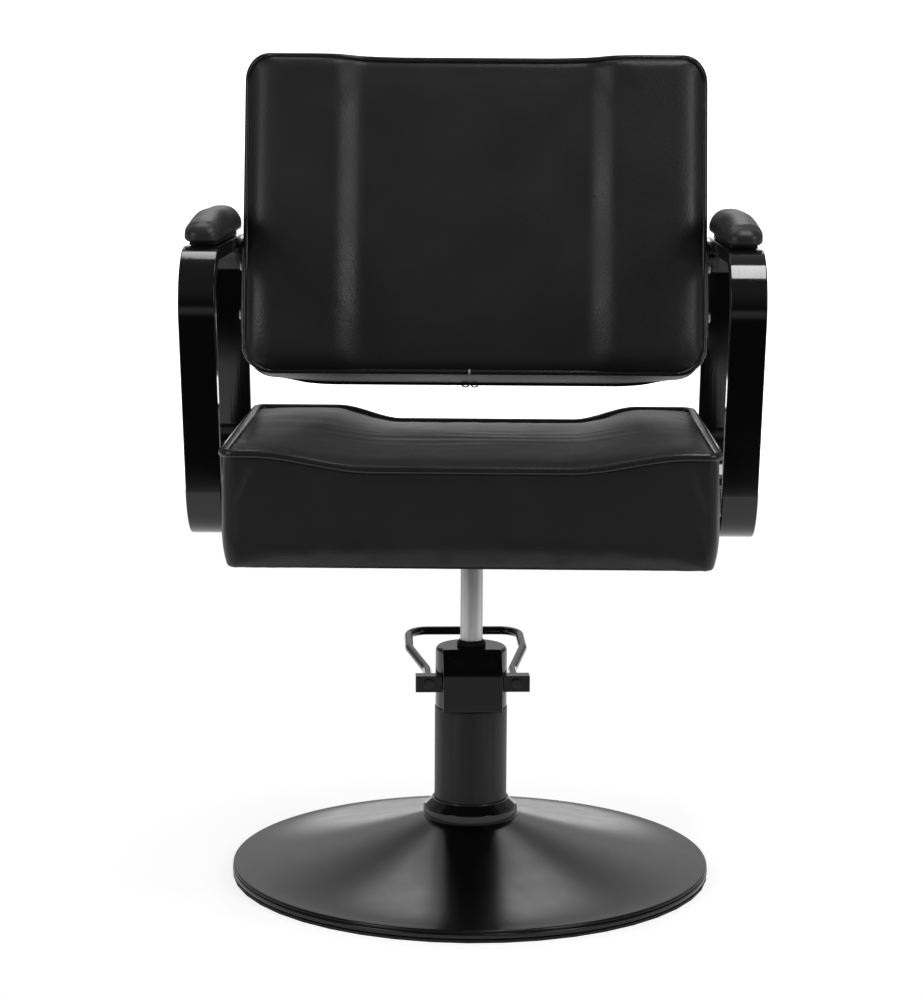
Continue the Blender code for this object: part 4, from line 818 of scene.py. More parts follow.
class CHAIR_OT_stage(Operator):
    """White paper floor, bright backdrop, soft lamps and the camera of the photograph"""
    bl_idname = "chair.stage"
    bl_label = "Studio"

    def execute(self, context):
        studio = context.scene.chair_studio
        context.scene.view_settings.view_transform = "Standard"
        self.camera(context, studio)
        self.world(context, studio)
        self.lamps(context)
        half, behind, front = 3.0, 3.0, -studio.floor_front
        mesh = bpy.data.meshes.new("paper_floor")
        mesh.from_pydata([(-half, front, 0), (half, front, 0), (half, behind, 0), (-half, behind, 0)], [],
                         [(0, 1, 2, 3)])
        mesh.materials.append(finish(paper_white_floor))
        floor = bpy.data.objects.new("paper_floor", mesh)
        context.scene.collection.objects.link(floor)
        return {"FINISHED"}

    def camera(self, context, studio):
        """The photograph's view, a little to one side and above the seat."""
        data = bpy.data.cameras.new("photograph_view")
        data.sensor_fit = "VERTICAL"
        data.sensor_height = 36.0
        data.lens = studio.focal_pixels * data.sensor_height / IMAGE_HEIGHT
        view = bpy.data.objects.new("photograph_view", data)
        view.location = (studio.distance * math.sin(studio.azimuth),
                         -studio.distance * math.cos(studio.azimuth), studio.height)
        turn = Matrix.Rotation(studio.azimuth + studio.pan, 3, "Z")
        lean = Matrix.Rotation(math.pi / 2 - studio.tilt, 3, "X")
        view.rotation_euler = (turn @ lean @ Matrix.Rotation(studio.roll, 3, "Z")).to_euler()
        context.scene.collection.objects.link(view)
        context.scene.camera = view

    def world(self, context, studio):
        """White to the eye; as light, white behind the chair and dim before it."""
        world = bpy.data.worlds.new("studio")
        world.use_nodes = True
        tree = world.node_tree
        tree.nodes.clear()
        way = add_node(tree, "SeparateXYZ", {0: add_node(tree, "TexCoord").outputs["Generated"]}).outputs
        sideways = add_node(tree, "Math", {0: way["X"]}, operation="ABSOLUTE").outputs[0]
        ahead, up = way["Y"], way["Z"]
        # Each light is the product of its ramps: direction, where it starts and ends, and its two levels.
        beyond_paper = ((up, -0.42, -0.2, 0.0, studio.low_level), (up, -0.16, 0.0, 1.0, 0.0))
        room = ((up, -0.1, 0.6, 0.0, studio.front_level),)
        backdrop = ((ahead, -0.1, 0.35, 0.0, studio.back_level), (up, 0.03, 0.11, 1.6, 0.3),
                    (up, 0.15, 0.3, 1.0, 2.0), (up, 0.35, 0.6, 1.0, 0.25), (sideways, 0.2, 0.55, 1.0, 0.3))
        level = 0.0
        for ramps in (beyond_paper, room, backdrop):
            light = 1.0
            for direction, begin, end, low, high in ramps:
                ramp = add_node(tree, "MapRange", {"Value": direction, "From Min": begin, "From Max": end,
                                                   "To Min": low, "To Max": high},
                                interpolation_type="SMOOTHSTEP").outputs["Result"]
                light = add_node(tree, "Math", {0: light, 1: ramp}, operation="MULTIPLY").outputs[0]
            level = add_node(tree, "Math", {0: level, 1: light}, operation="ADD").outputs[0]
        path = add_node(tree, "LightPath").outputs
        seen = add_node(tree, "Math", {0: path["Is Camera Ray"], 1: path["Is Transmission Ray"]},
                        operation="MAXIMUM")
        strength = add_node(tree, "Math", {0: level, 1: seen.outputs[0]}, operation="MAXIMUM")
        sky = add_node(tree, "Background", {"Color": (1, 1, 1, 1), "Strength": strength.outputs[0]})
        add_node(tree, "OutputWorld", {"Surface": sky.outputs[0]})
        context.scene.world = world

    def lamps(self, context):
        """Soft boxes before the chair and behind it, and a strip over each arm."""
        # Name, place, aim, width, height and watts.
        boxes = (("softbox_left", (-1.9, -1.9, 1.5), (0, 0, 0.6), 0.9, 1.5, 13),
                 ("softbox_right", (1.9, -1.8, 1.6), (0, 0, 0.6), 0.9, 1.5, 15),
                 ("strip_over_right", (0.50, -0.57, 2.75), (0.50, -0.58, 0.6), 0.2, 1.25, 11.5),
                 ("softbox_behind", (0, 2.6, 2.4), (0, 0, 0.75), 1.4, 0.7, 7),
                 ("strip_over_left", (-0.52, 0.84, 2.60), (-0.3, -0.15, 0.74), 0.24, 1.0, 3.5))
        for name, place, target, wide, high, watts in boxes:
            lamp = bpy.data.lights.new(name, "AREA")
            lamp.shape = "RECTANGLE"
            lamp.size, lamp.size_y, lamp.energy = wide, high, watts
            obj = bpy.data.objects.new(name, lamp)
            obj.location = place
            obj.rotation_euler = (Vector(target) - Vector(place)).to_track_quat("-Z", "Y").to_euler()
            context.scene.collection.objects.link(obj)


class CHAIR_OT_base(Operator):
    """Spun dish with a turned-down rim, and the tapered collar round the tube's foot"""
    bl_idname = "chair.base"
    bl_label = "Base dish and collar"

    def execute(self, context):
        base = context.scene.chair_base
        flat_end = base.radius - base.rim_round

        def skin(radius):
            """Height of the dish's face, which steepens towards the neck."""
            share = (flat_end - radius) / (flat_end - base.collar)
            return base.rim_height + base.rise * max(share, 0.0) ** base.power

        rings, turn, groove_half = 48, 0.0022, 0.001
        radii = [base.neck + (flat_end - base.neck) * k / rings for k in range(rings + 1)]
        outer = [(radius, skin(radius)) for radius in radii]
        foot = start("base_dish", 2)
        edge, groove = base.radius - 0.0005, base.radius - 0.0024
        rim = filleted([outer[-1], (edge, base.rim_height - 0.0003), (edge, base.bead + groove_half),
                        (groove, base.bead), (base.radius, base.bead - groove_half),
                        (base.radius, foot + 0.002), (groove, foot)],
                       [0, turn, 0.0006, 0.0003, turn, turn, 0], 6, False)[1:]
        inside = base.radius - 2 * base.wall
        inner = [(radius, height - base.wall) for radius, height in reversed(outer)]
        profile = outer + rim + [(inside, foot), (inside, base.bead)] + inner
        piece("spun_dish", turned(profile, 192), enamel_spun_dish, "base",
              ["base_dish"], sharp=50)

        bottom, top = start("base_collar", 2), reach("base_collar", 2)
        flange, lip, step, ledge = bottom + 0.011, 0.0022, 0.0012, 0.004
        edge = filleted([(base.neck, top), (base.neck + lip, top), (base.neck + lip, top - step),
                         (base.collar - lip, flange + 0.0011), (base.collar, flange), (base.collar, bottom)],
                        [0, 0.0004, 0.0005, 0.0012, 0.001, 0], 4, False)
        under = [(radius, skin(radius) + CLEAR)
                 for radius in (base.collar - ledge, base.neck + ledge, base.neck)]
        piece("tapered_collar", turned(edge + under, 128), enamel_gloss_black, "base",
              ["base_collar"], sharp=25)
        return {"FINISHED"}


class CHAIR_OT_pump(Operator):
    """Pump tube, cast head with its sloped square front, return spring, wiper ring and lifting rod"""
    bl_idname = "chair.pump"
    bl_label = "Pump"

    def execute(self, context):
        pump = context.scene.chair_pump
        self.tube(pump)
        self.head(pump)
        self.spring()
        low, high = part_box("rod_wiper")
        bore, lip, fall = pump.rod_radius + 0.0004, 0.001, 0.003
        ring = filleted([(bore, high.z), (bore + lip, high.z), (high.x, high.z - fall), (high.x, low.z),
                         (bore, low.z)], [0, 0.0005, 0.001, 0.0006, 0], 4, False)
        piece("wiper_ring", turned(ring, 64), rubber_black_moulded, "base", ["rod_wiper"],
              sharp=50)
        foot, top, chamfer = start("piston_rod", 2), reach("piston_rod", 2), 0.001
        rod = filleted([(0, top), (pump.rod_radius, top), (pump.rod_radius, foot), (0, foot)],
                       [0, chamfer, chamfer, 0], 3, False)
        piece("lifting_rod", turned(rod, 64), steel_ground_bright, "seat", ["piston_rod"])
        return {"FINISHED"}

    def spring(self):
        """The plunger's return spring, a coil of round wire."""
        low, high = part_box("plunger_spring")
        middle, wire, turns, steps, stroke = (low + high) / 2, 0.0005, 5, 24, 0.0025
        coil, climb = (high.x - low.x) / 2 - wire, high.z - low.z - 2 * wire
        path = [Vector((middle.x + coil * math.cos(2 * math.pi * k / steps),
                        middle.y + coil * math.sin(2 * math.pi * k / steps),
                        low.z + wire + climb * k / (turns * steps))) for k in range(turns * steps + 1)]
        obj = piece("return_coil", swept(path, circle(wire, 10), (0, 0, 1), False), steel_plain_oiled,
                    "base", ["plunger_spring"], sharp=60)
        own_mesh(obj)

    def tube(self, pump):
        """The pump's outer tube, with the flange at its foot that bolts to the base plate."""
        foot, flange = start("outer_tube", 2), reach("outer_tube", 0)
        floor, inner = 0.0183, pump.tube_radius - TUBE_WALL
        profile = filleted([(0, floor), (inner, floor), (inner, pump.tube_top),
                            (pump.tube_radius, pump.tube_top), (pump.tube_radius, floor), (flange, floor),
                            (flange, foot), (0, foot)], [0, 0, 0, 0.0008, 0, 0.001, 0, 0], 3, False)
        obj = piece("pump_tube", turned(profile, 128), paint_satin_black, "base",
                    ["outer_tube"], sharp=40)
        for k in range(3):
            x, y, _z = middle_of(f"foot_bolt_{k + 1}")
            drill(obj, BOLT_HOLE, (x, y, foot - OVER), (x, y, floor + OVER), steps=24)

    def head(self, pump):
        """Turned body with a square block whose front slopes back, bored for shaft, rod and plunger."""
        low, spigot, top = pump.tube_top + CLEAR, start("pump_head", 2), pump.head_top
        inner = pump.tube_radius - TUBE_WALL - CLEAR
        body = filleted([(0, top), (pump.head_radius, top), (pump.head_radius, low), (inner, low),
                         (inner, spigot), (0, spigot)], [0, pump.head_round, 0.0006, 0, 0, 0], 6, False)
        obj = piece("cast_head", turned(body, 128), casting_painted_black, "base",
                    ["pump_head"], sharp=28, place=PUMP_FRAME)
        front, back = -pump.block_front, pump.slope_run - pump.block_front
        before, half_cut = 0.02, 0.08
        steepness = (top - pump.slope_foot) / pump.slope_run
        wedge = [(front - before, pump.slope_foot - before * steepness), (back, top),
                 (back + 0.001, top + OVER), (front - before, top + before)]
        cut(obj, prism(wedge, -half_cut, half_cut), PUMP_FRAME)
        # The block stands a hair inside the body's faces, so that the two join cleanly.
        block_top, block_foot, block_back, edge = top - 0.0002, low + 0.001, -0.004, 0.0014
        sides = [(block_back, block_foot), (front, block_foot), (front, pump.slope_foot), (back, block_top),
                 (block_back, block_top)]
        cut(obj, bevelled(*prism(sides, -pump.block_half, pump.block_half), edge), PUMP_FRAME, "UNION")
        half, corner = pump.block_half, 0.006
        arc = [(half - inset, top - drop) for inset, drop in arc_rows(corner, 0, 90, 8)]
        arc += [(half + OVER, top - corner), (half + OVER, top + OVER), (half - corner, top + OVER)]
        shaft = (-pump.shaft_forward, pump.shaft_height)
        swing = pump.ear_side / math.sqrt(2) + 0.0012
        bush_bore, bush_deep, shaft_bore, rod_bore, plunger_bore = 0.0112, 0.012, 0.0084, 0.0169, 0.0056
        far, past, plunger_foot = 0.07, 0.06, 0.1988
        for side, _name in SIDES:
            rounding = prism([(side * x, z) for x, z in arc], -past, back + 0.0005, along_y=True)
            cut(obj, rounding, PUMP_FRAME)
        for side, _name in SIDES:
            face, outside = side * (half + CLEAR), (side * far, *shaft)
            drill(obj, swing, (face, *shaft), outside, PUMP_FRAME)
            drill(obj, bush_bore, (face - side * bush_deep, *shaft), outside, PUMP_FRAME)
        drill(obj, shaft_bore, (-past, *shaft), (past, *shaft), PUMP_FRAME)
        drill(obj, rod_bore, (0, 0, spigot - OVER), (0, 0, top + OVER), PUMP_FRAME, 64)
        drill(obj, plunger_bore, (0, shaft[0], plunger_foot), (0, *shaft), PUMP_FRAME, 32)
        evened(obj, 28)


class CHAIR_OT_lever(Operator):
    """Bent foot lever, the square ears that carry it and their end screws"""
    bl_idname = "chair.lever"
    bl_label = "Foot lever"

    def execute(self, context):
        pump = context.scene.chair_pump
        place = PUMP_FRAME @ Matrix.Translation((0, -pump.shaft_forward, pump.shaft_height))
        half, splay = 0.05055, 0.0185
        right = [(half, CLEAR, 0), (half, 0.069, 0), (half + splay, 0.157, 0.0077),
                 (half + splay, 0.232, 0.014)]
        left = [(-x, y, z) for x, y, z in reversed(right)]
        bends = [0, 0.048, 0.048, 0.024]
        path = spaced(filleted(right + left, bends + bends[::-1], 12, False), 0.012, False)
        piece("bent_bail", swept(path, circle(pump.lever_radius, 28), (0, 0, 1), False),
              enamel_gloss_black, "lever", ["foot_lever"], place=place)

        near, far, edge, through = 0.0351, 0.0662, 0.0009, 0.02
        shaft_bore, shaft_end = 0.0083, 0.0436
        disc_radius, disc_thick, shank_radius, shank = 0.0065, 0.003, 0.00525, 0.0095
        disc = filleted([(0, disc_thick), (disc_radius, disc_thick), (disc_radius, 0), (shank_radius, 0),
                         (shank_radius, -shank), (0, -shank)], [0, 0.0012, 0, 0, 0, 0], 4, False)
        for side, name in SIDES:
            shape = cuboid((far - near, pump.ear_side, pump.ear_side), (side * (near + far) / 2, 0, 0), edge)
            ear = piece(f"square_ear_{name}", shape, enamel_gloss_black, "lever",
                        [f"lever_ear_{name}"], place=place)
            drill(ear, shaft_bore, (0, 0, 0), (side * shaft_end, 0, 0), place, 32)
            drill(ear, pump.lever_radius + CLEAR, (side * half, -through, 0), (side * half, through, 0),
                  place, 32)
            evened(ear)
            front = placed((side * half, -pump.ear_side / 2 - CLEAR, 0), (math.pi / 2, 0, 0))
            piece(f"end_disc_{name}", turned(disc, 40), paint_satin_black, "lever",
                  [f"lever_screw_{name}"], place=place @ front)
        return {"FINISHED"}


class CHAIR_OT_seat_mount(Operator):
    """Hub on the rod, plate under the seat and its four bolts"""
    bl_idname = "chair.seat_mount"
    bl_label = "Seat mount"

    def execute(self, context):
        rod = context.scene.chair_pump.rod_radius
        low, high = start("rod_hub", 2), reach("rod_hub", 2)
        bore, wide, narrow, taper = rod + CLEAR, rod + 0.013, rod + 0.0078, 0.017
        hub = filleted([(bore, high), (wide, high), (wide, low + taper), (narrow, low), (bore, low)],
                       [0, 0.0006, 0.004, 0.0012, 0], 4, False)
        piece("tapered_hub", turned(hub, 64), paint_satin_black, "seat", ["rod_hub"],
              sharp=40)
        corner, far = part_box("mount_plate")
        plate = piece("square_plate", cuboid(far - corner, (corner + far) / 2, 0.0008), paint_satin_black,
                      "seat", ["mount_plate"])
        face, head_radius, bolt_radius = corner.z - CLEAR, 0.0075, 0.004
        for k in range(4):
            node = f"mount_bolt_{k + 1}"
            x, y, _z = middle_of(node)
            drill(plate, BOLT_HOLE, (x, y, corner.z - OVER), (x, y, far.z + OVER), steps=24)
            fastener(node, head_radius, face - start(node, 2), bolt_radius, reach(node, 2) - face,
                     placed((x, y, face), (math.pi, 0, 0)))
        return {"FINISHED"}


class CHAIR_OT_seat(Operator):
    """Dished box seat in leatherette, with piping round its top edge and a dust cover under it"""
    bl_idname = "chair.seat"
    bl_label = "Seat cushion"

    def execute(self, context):
        seat = context.scene.chair_seat
        middle, half_y = (seat.back - seat.front) / 2, (seat.back + seat.front) / 2
        tall = seat.top - seat.bottom

        def top_of(x, y):
            """Height of the top face: high sides beside a channel that narrows and drifts to the back."""
            along = smooth_step(y, -seat.front, seat.back)
            outer = seat.channel_front + (seat.channel_back - seat.channel_front) * along
            side = smooth_step(abs(x - seat.drift * along), seat.channel_inner, outer)
            crown = seat.crown * (1 - ((y - middle) / half_y) ** 2)
            return seat.top - seat.dish * (1 - side) + crown * (1 - side)

        under, levels = 0.005, 14
        rows = [(inset, rise / tall) for inset, rise in arc_rows(under, 0, 90, 4)]
        rows += [(0.0, under / tall + (1 - under / tall) * k / levels) for k in range(1, levels + 1)]
        last = len(rows) - 1
        seam_deep, seam_wide, pinched = 0.003, 0.006, 0.003
        ripple_high, ripple_pitch, ripple_wide, ripple_long, ripple_at = 0.0006, 0.0052, 0.15, 0.06, -0.03
        foot_share = 0.3  # of the height, over which the sides draw in and sag

        def form(x, y, level, row):
            draw_in = seat.draw_in * max(0.0, 1 - level / foot_share) ** 2
            x *= 1 - draw_in / seat.half_width
            y = y * (1 - draw_in / half_y) + middle
            high = top_of(x, y)
            edge = min(seat.half_width - abs(x), half_y - abs(y - middle))
            if row == last:
                ripple = math.sin(y / ripple_pitch + 3 * noise.noise((x * 9, y * 20, 0)))
                ripple *= bump_at(x, 0, ripple_wide) * bump_at(y, ripple_at, ripple_long)
                z = high - seam_deep * bump_at(edge, 0, seam_wide) + ripple_high * ripple
            else:
                sag = (1 - smooth_step(edge, 0.005, 0.02)) * (1 - smooth_step(level, 0, foot_share))
                z = seat.bottom + level * (high - seat.bottom) - seat.sag * sag
                pinch = pinched * bump_at(level, 1, 0.05)
                x -= math.copysign(pinch, x) * smooth_step(abs(x), 0.2, 0.26)
                y -= math.copysign(pinch, y - middle) * smooth_step(abs(y - middle), 0.15, 0.205)
            return Vector((x, y, z))

        shape, held = padded_skin((seat.half_width, half_y), seat.corner, rows, (72, 58), form)
        inner_x, inner_y = seat.half_width - seat.corner, half_y - seat.corner
        held += [at for at, point in enumerate(shape[0])
                 if abs(point.x) > inner_x and abs(point.y - middle) > inner_y]
        cover = piece("seat_cover", shape, leatherette_embossed_pvc, "seat",
                      ["seat_cushion"], sharp=180)
        subdivided(stuffed(cover, held, room=0.003, slack=0.006))

        sink = 0.0005
        corners = rectangle(seat.half_width - sink, half_y - sink)
        outline = spaced(filleted(corners, [seat.corner] * 4, 10), 0.006)
        path = [Vector((x, y + middle, top_of(x, y + middle) - sink)) for x, y in outline]
        piece("seat_welt", swept(path, circle(seat.piping, 14), (0, 0, 1), True), leatherette_piping_pvc,
              "seat", ["seat_piping"], sharp=180)
        self.underside(seat, middle, half_y)
        return {"FINISHED"}

    def underside(self, seat, middle, half_y):
        """The dust cover stapled under the seat, open round the mount plate."""
        low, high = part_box("mount_plate")
        top, thick, margin, gap = seat.bottom - CLEAR, 0.0008, 0.022, 0.004
        half_x, half_y = seat.half_width - margin, half_y - margin
        rim = [(-half_x, middle - half_y), (half_x, middle - half_y), (half_x, middle + half_y),
               (-half_x, middle + half_y)]
        hole = [(low.x - gap, low.y - gap), (high.x + gap, low.y - gap), (high.x + gap, high.y + gap),
                (low.x - gap, high.y + gap)]
        points = [Vector((x, y, z)) for z in (top - thick, top) for x, y in rim + hole]
        faces = []
        for k in range(4):
            after = (k + 1) % 4
            faces += [(k, after, 4 + after, 4 + k), (8 + k, 8 + after, 12 + after, 12 + k),
                      (k, after, 8 + after, 8 + k), (4 + k, 4 + after, 12 + after, 12 + k)]
        piece("dust_cover", (points, faces), felt_black_nonwoven, "seat")
        inset, wire, long, pitch = 0.008, 0.0006, 0.010, 0.045
        ring = [Vector((x * (1 - inset / half_x), middle + (y - middle) * (1 - inset / half_y), top - thick))
                for x, y in rim]
        staples = []
        for k, corner in enumerate(ring):
            way = ring[(k + 1) % 4] - corner
            count = round(way.length / pitch)
            size = (long, wire, wire) if abs(way.x) > abs(way.y) else (wire, long, wire)
            for step in range(1, count):
                centre = corner + way * step / count - Vector((0, 0, wire / 2))
                staples.append(cuboid(size, centre, wire / 4))
        piece("dust_cover_staples", joined(staples), steel_zinc_plated, "seat")


class CHAIR_OT_arms(Operator):
    """Closed leaning loops of flat bar, their studs into the seat and the screws up into the pads"""
    bl_idname = "chair.arms"
    bl_label = "Arm loops"

    def execute(self, context):
        arms = context.scene.chair_arms
        corners = [(-0.100, arms.low), (0.270, arms.low), (0.195, arms.high), (-0.185, arms.high)]
        path = [Vector((0, y, z)) for y, z in filleted(corners, [0.070, 0.070, 0.050, 0.055], 28)]
        section = filleted(rectangle(arms.width / 2, arms.thickness / 2), [arms.edge] * 4, 4)
        hole, head_radius, head_thick, screw_radius = 0.0028, 0.005, 0.003, 0.0025
        for side, name in SIDES:
            place = Matrix.Translation((side * arms.middle, 0, 0))
            loop = piece(f"bar_loop_{name}", swept(path, section, (1, 0, 0), True), enamel_flat_bar,
                         "seat", [f"arm_loop_{name}"], place=place)
            for where in ("front", "back"):
                node = f"pad_screw_{name}_{where}"
                x, y, _z = middle_of(node)
                low, high = start(node, 2), reach(node, 2)
                drill(loop, hole, (x, y, low), (x, y, high + 0.002), steps=24)
                under_head = low + head_thick
                fastener(node, head_radius, head_thick, screw_radius, high - under_head,
                         placed((x, y, under_head), (math.pi, 0, 0)))
                self.stud(f"arm_stud_{name}_{where}", side)
            evened(loop)
        return {"FINISHED"}

    def stud(self, node, side):
        """A welded stud: a collar between loop and seat, and a shank into the seat's tray."""
        _x, y, z = middle_of(node)
        near, far = sorted((abs(start(node, 0)), abs(reach(node, 0))))
        collar, thick, shank = 0.010, 0.015, 0.004
        profile = filleted([(0, 0), (collar, 0), (collar, thick), (shank, thick), (shank, far - near),
                            (0, far - near)], [0, 0.0006, 0.001, 0, 0, 0], 4, False)
        piece(node + "_turned", turned(profile, 40), paint_satin_black, "seat", [node],
              place=placed((side * far, y, z), (0, -side * math.pi / 2, 0)))


class CHAIR_OT_pads(Operator):
    """Padded armrests with a seamed end, on their dark base strips"""
    bl_idname = "chair.pads"
    bl_label = "Arm pads"

    def execute(self, context):
        arms = context.scene.chair_arms
        half = (arms.pad_width / 2, (arms.pad_back - arms.pad_front) / 2)
        pad_middle = (arms.pad_back + arms.pad_front) / 2
        tall, corner = arms.pad_height, 0.016
        round_low, round_high = 0.005, 0.0155
        rows = [(inset, rise / tall) for inset, rise in arc_rows(round_low, 0, 90, 4)]
        rows += [(0.0, (round_low + (tall - round_low - round_high) * k / 3) / tall) for k in (1, 2)]
        rows += [(inset, 1 - rise / tall) for inset, rise in reversed(arc_rows(round_high, 0, 90, 7))]
        front_run, rear_run, nose_run = 0.11, 0.06, 0.024
        crown, rear_drop, nose_drop, overhang = 0.0035, 0.008, 0.005, 0.0025
        seam_wide, seam_deep, seam_lean = 0.0032, 0.0013, 0.004
        wave_high, fold_high, fold_pitch = 0.0006, 0.0002, 0.0052
        narrower_front, narrower_rear, narrower_seam = 0.04, 0.09, 0.05
        for side, name in SIDES:
            low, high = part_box(f"pad_base_{name}")
            bottom = high.z + CLEAR

            def form(x, y, level, _row):
                from_front, from_back = y + half[1], half[1] - y
                front = 1 - smooth_step(from_front, 0, front_run)
                rear = 1 - smooth_step(from_back, 0, rear_run)
                x *= 1 - narrower_front * front * front - narrower_rear * rear
                nose = 1 - smooth_step(from_front, 0, nose_run)
                z = tall - crown * (x / half[0]) ** 2 - arms.pad_drop * front - rear_drop * rear
                z -= nose_drop * nose
                seam = bump_at(from_front, arms.pad_panel + seam_lean * (1 - level), seam_wide)
                z -= seam_deep * seam * level
                x *= 1 - narrower_seam * seam
                wave = noise.noise((x * 30, y * 14, side * 3.0)) * wave_high * level
                fold = math.sin(from_front / fold_pitch + 4 * noise.noise((x * 25, y * 25, side * 5.0)))
                wave += fold * fold_high * level * (1 - smooth_step(from_front, 0.03, 0.15))
                droop = overhang * (1 - smooth_step(from_front, 0.003, 0.013)) * (1 - level)
                return Vector((side * arms.middle + x, pad_middle + y, bottom + level * z + wave - droop))

            shape, held = padded_skin(half, corner, rows, (14, 88), form, seam=False)
            pad = piece(f"rest_pad_{name}", shape, leatherette_stretched_pvc, "seat",
                        [f"arm_pad_{name}"], sharp=180)
            subdivided(stuffed(pad, held, room=0.0012, slack=0.004))
            inset = Vector((0.002, 0.012, 0))
            low, high = low + inset, high - inset
            piece(f"rest_strip_{name}", cuboid(high - low, (low + high) / 2, 0.0012), rubber_black_moulded,
                  "seat", [f"pad_base_{name}"])
        return {"FINISHED"}


class CHAIR_OT_back(Operator):
    """Backrest with two raised sides, piped front and rear, its rear panel and small trimmings"""
    bl_idname = "chair.back"
    bl_label = "Backrest"

    def execute(self, context):
        back = context.scene.chair_back
        half = (back.half_width, back.height / 2)
        rise = back.top - half[1]
        tuck_run, bolster_run, top_share = 0.17, 0.03, 0.65
        sag_from, sag_to, hang_from, hang_to, dip_from = 0.08, 0.2, 0.17, 0.262, 0.1

        def front(x, z):
            """Depth of the front face, which is tucked back at its foot and swells from its seams."""
            sides, top = swell(half[0] - abs(x), back.edge_roll), swell(half[1] - z, back.top_roll)
            raised = smooth_step(abs(x), back.bolster_inner, back.bolster_outer)
            raised *= (top_share + (1 - top_share) * top) * swell(half[1] + z, bolster_run)
            middle = back.crown * top * swell(half[1] + z, back.foot_roll)
            return back.tuck * (1 - swell(half[1] + z, tuck_run)) - sides * (middle + back.bolster * raised)

        def dip(x, z, behind):
            """How far the top seam sags, and the lower one behind, at this share of the depth."""
            top = (1 - smooth_step(abs(x), sag_from, sag_to)) * smooth_step(z, dip_from, half[1])
            low = (1 - smooth_step(abs(x), hang_from, hang_to)) * smooth_step(-z, dip_from, half[1])
            return back.sag * top + back.hang * behind * low

        self.cushion(back, half, rise, front, dip)
        self.panel(back, half, rise, dip)
        self.welts(back, half, rise, front, dip)
        self.trimmings(back, rise - half[1])
        return {"FINISHED"}

    def cushion(self, back, half, rise, front, dip):
        """The front cover, with a dent in each side edge beside the arm pads."""
        levels = 8
        rows = [(0.0, k / levels) for k in range(levels + 1)]
        seam_deep, seam_wide = 0.002, 0.006
        dent_deep, dent_middle, dent_run, dent_height, dent_tall = 0.006, 0.267, 0.032, -0.045, 0.014

        def form(x, z, level, row):
            depth = back.depth * (1 - level) + level * front(x, z)
            if row == levels:
                from_side = half[0] - abs(x)
                depth += seam_deep * bump_at(min(from_side, half[1] - abs(z)), 0, seam_wide)
                # The dent slants down and widens as it runs inwards.
                dent = bump_at(z, dent_height - 0.1 * from_side, dent_tall + 0.2 * from_side)
                depth += dent_deep * bump_at(abs(x), dent_middle, dent_run) * dent
            return Vector((x, depth, z + rise - dip(x, z, 1 - level)))

        shape, held = padded_skin(half, back.corner, rows, (76, 56), form)
        cover = piece("back_cover", shape, leatherette_embossed_pvc, "seat",
                      ["back_cushion"], sharp=180, place=BACK_FRAME)
        subdivided(stuffed(cover, held, room=0.0006, slack=0.0))

    def panel(self, back, half, rise, dip):
        """The padded panel that closes the back."""
        thick, edge_round = back.panel, 0.010
        rows = [(0.0, 0.0), (0.0, 0.2)]
        rows += [(inset, 1 - drop / thick) for inset, drop in reversed(arc_rows(edge_round, 0, 90, 5))]

        def form(x, z, level, _row):
            crown = back.crown * (1 - (x / half[0]) ** 2) * (1 - (z / half[1]) ** 2)
            return Vector((x, back.depth + CLEAR + level * (thick + crown), z + rise - dip(x, z, 1)))

        shape, held = padded_skin(half, back.corner, rows, (48, 36), form, seam=False)
        rear = piece("rear_cover", shape, leatherette_embossed_pvc, "seat",
                     ["back_rear_panel"], sharp=180, place=BACK_FRAME)
        subdivided(stuffed(rear, held, room=0.002, slack=0.002))

    def welts(self, back, half, rise, front, dip):
        """The piping round the front seam and the rear one, which hangs a little in its middle."""
        cord, loose = 0.0035, 0.003
        outline = spaced(filleted(rectangle(*half), [back.corner] * 4, 10), 0.008)
        for name, behind, sink in (("front", 0, 0.0012), ("rear", 1, 0.0038)):
            path = []
            for x, z in outline:
                depth = behind * back.depth + (1 - behind) * front(x, z)
                hang = smooth_step(-z, half[1] - 0.02, half[1]) * (1 - smooth_step(abs(x), 0.2, 0.24))
                height = z * (1 - sink / half[1]) + rise - dip(x, z, behind) - behind * loose * hang
                path.append(Vector((x * (1 - sink / half[0]), depth, height)))
            piece(f"back_welt_{name}", swept(path, circle(cord, 14), (0, 1, 0), True),
                  leatherette_piping_pvc, "seat", [f"back_piping_{name}"], sharp=180,
                  place=BACK_FRAME)

    def trimmings(self, back, foot):
        """Two small loops under the lower rear seam, and a pale band where the front piping closes, a painted
        highlight.
        """
        wide, high, thread, cord = 0.0038, 0.0022, 0.0009, 0.0038
        loops = []
        for x in (-0.0105, 0.0005):
            ring = [Vector((x + wide * a, back.depth, foot - back.hang - high + high * b))
                    for a, b in circle(1, 24)]
            loops.append(swept(ring, circle(thread, 10), (0, 1, 0), True))
        piece("seam_loops", joined(loops), rubber_black_moulded, "seat", place=BACK_FRAME)
        # Painted highlight: a short pale band on the front piping where it closes.
        joint = [Vector((x, back.tuck, foot + 0.0012)) for x in (-0.0066, -0.0044)]
        piece("welt_joint", swept(joint, circle(cord, 20), (0, 1, 0), False), pale_joint_painted_highlight,
              "seat", place=BACK_FRAME)


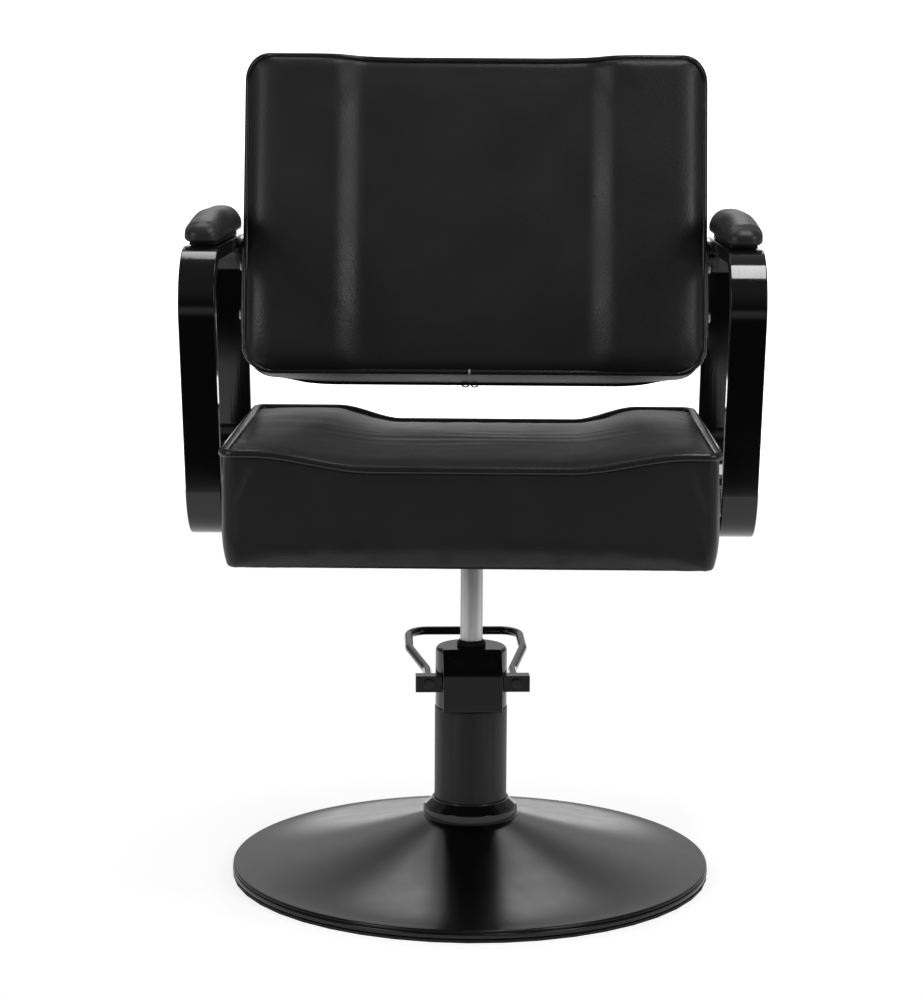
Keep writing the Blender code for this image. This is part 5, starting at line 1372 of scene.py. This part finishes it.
class CHAIR_OT_brackets(Operator):
    """Plates that join the arms to the backrest, and their bolts"""
    bl_idname = "chair.brackets"
    bl_label = "Back brackets"

    def execute(self, context):
        corner, edge = 0.012, 0.0008
        head_radius, head_thick, bolt_radius = 0.0065, 0.004, 0.004
        for side, name in SIDES:
            low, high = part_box(f"back_bracket_{name}")
            lean = (high.z - low.z) * math.tan(BACK_LEAN)
            corners = [(low.y, low.z), (high.y, low.z), (high.y, high.z), (low.y + lean, high.z)]
            shape = bevelled(*prism(filleted(corners, [corner] * 4, 8), low.x, high.x), edge, 2)
            plate = piece(f"bracket_plate_{name}", shape, paint_satin_black, "seat",
                          [f"back_bracket_{name}"])
            for where in ("low", "high"):
                node = f"back_bolt_{name}_{where}"
                _x, y, z = middle_of(node)
                near, far = sorted((abs(start(node, 0)), abs(reach(node, 0))))
                drill(plate, BOLT_HOLE, (side * 0.26, y, z), (side * 0.30, y, z), steps=24)
                face = far - head_thick
                fastener(node, head_radius, head_thick, bolt_radius, face - near,
                         placed((side * face, y, z), (0, side * math.pi / 2, 0)))
        return {"FINISHED"}


class CHAIR_OT_carried_over(Operator):
    """Finishes for the frame's own pieces that stay as they are"""
    bl_idname = "chair.carried_over"
    bl_label = "Carried-over pieces"

    def execute(self, context):
        finishes = {
            rubber_black_moulded: ("rim_seal", "piston_seal"),
            steel_plain_oiled: ("base_plate", "inner_barrel", "piston", "cross_shaft", "pump_plunger"),
            steel_zinc_plated: ("foot_bolt_1", "foot_bolt_2", "foot_bolt_3"),
            bronze_sintered: ("thrust_washer", "rod_guide", "shaft_bush_left", "shaft_bush_right"),
            plywood_birch: ("seat_frame", "back_board"),
        }
        for recipe, nodes in finishes.items():
            for node in nodes:
                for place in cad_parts[node].material_slots:
                    place.material = finish(recipe)
        return {"FINISHED"}


OPERATORS = (CHAIR_OT_stage, CHAIR_OT_base, CHAIR_OT_pump, CHAIR_OT_lever, CHAIR_OT_seat_mount, CHAIR_OT_seat,
             CHAIR_OT_arms, CHAIR_OT_pads, CHAIR_OT_back, CHAIR_OT_brackets, CHAIR_OT_carried_over)
SETTINGS = {"chair_colours": ChairColours, "chair_studio": ChairStudio, "chair_base": ChairBase,
            "chair_pump": ChairPump, "chair_seat": ChairSeat, "chair_arms": ChairArms,
            "chair_back": ChairBack}


class CHAIR_PT_pieces(Panel):
    """Lists the chair's pieces"""
    bl_idname = "CHAIR_PT_pieces"
    bl_label = "Hairdressing chair"
    bl_space_type = "VIEW_3D"
    bl_region_type = "UI"
    bl_category = "Chair"

    def draw(self, context):
        for operator in OPERATORS:
            self.layout.operator(operator.bl_idname)
        for name, group in SETTINGS.items():
            box = self.layout.box()
            box.label(text=name.replace("_", " ").capitalize())
            for setting in group.__annotations__:
                box.prop(getattr(context.scene, name), setting)


def register():
    for group in SETTINGS.values():
        bpy.utils.register_class(group)
    for made in (*OPERATORS, CHAIR_PT_pieces):
        bpy.utils.register_class(made)
    for name, group in SETTINGS.items():
        setattr(bpy.types.Scene, name, PointerProperty(type=group))


def unregister():
    for name in SETTINGS:
        delattr(bpy.types.Scene, name)
    for made in (CHAIR_PT_pieces, *reversed(OPERATORS), *SETTINGS.values()):
        bpy.utils.unregister_class(made)


def main():
    register()
    bpy.ops.chair.stage()
    bpy.ops.chair.base()
    bpy.ops.chair.pump()
    bpy.ops.chair.lever()
    bpy.ops.chair.seat_mount()
    bpy.ops.chair.seat()
    bpy.ops.chair.arms()
    bpy.ops.chair.pads()
    bpy.ops.chair.back()
    bpy.ops.chair.brackets()
    bpy.ops.chair.carried_over()


if __name__ == "__main__":
    main()
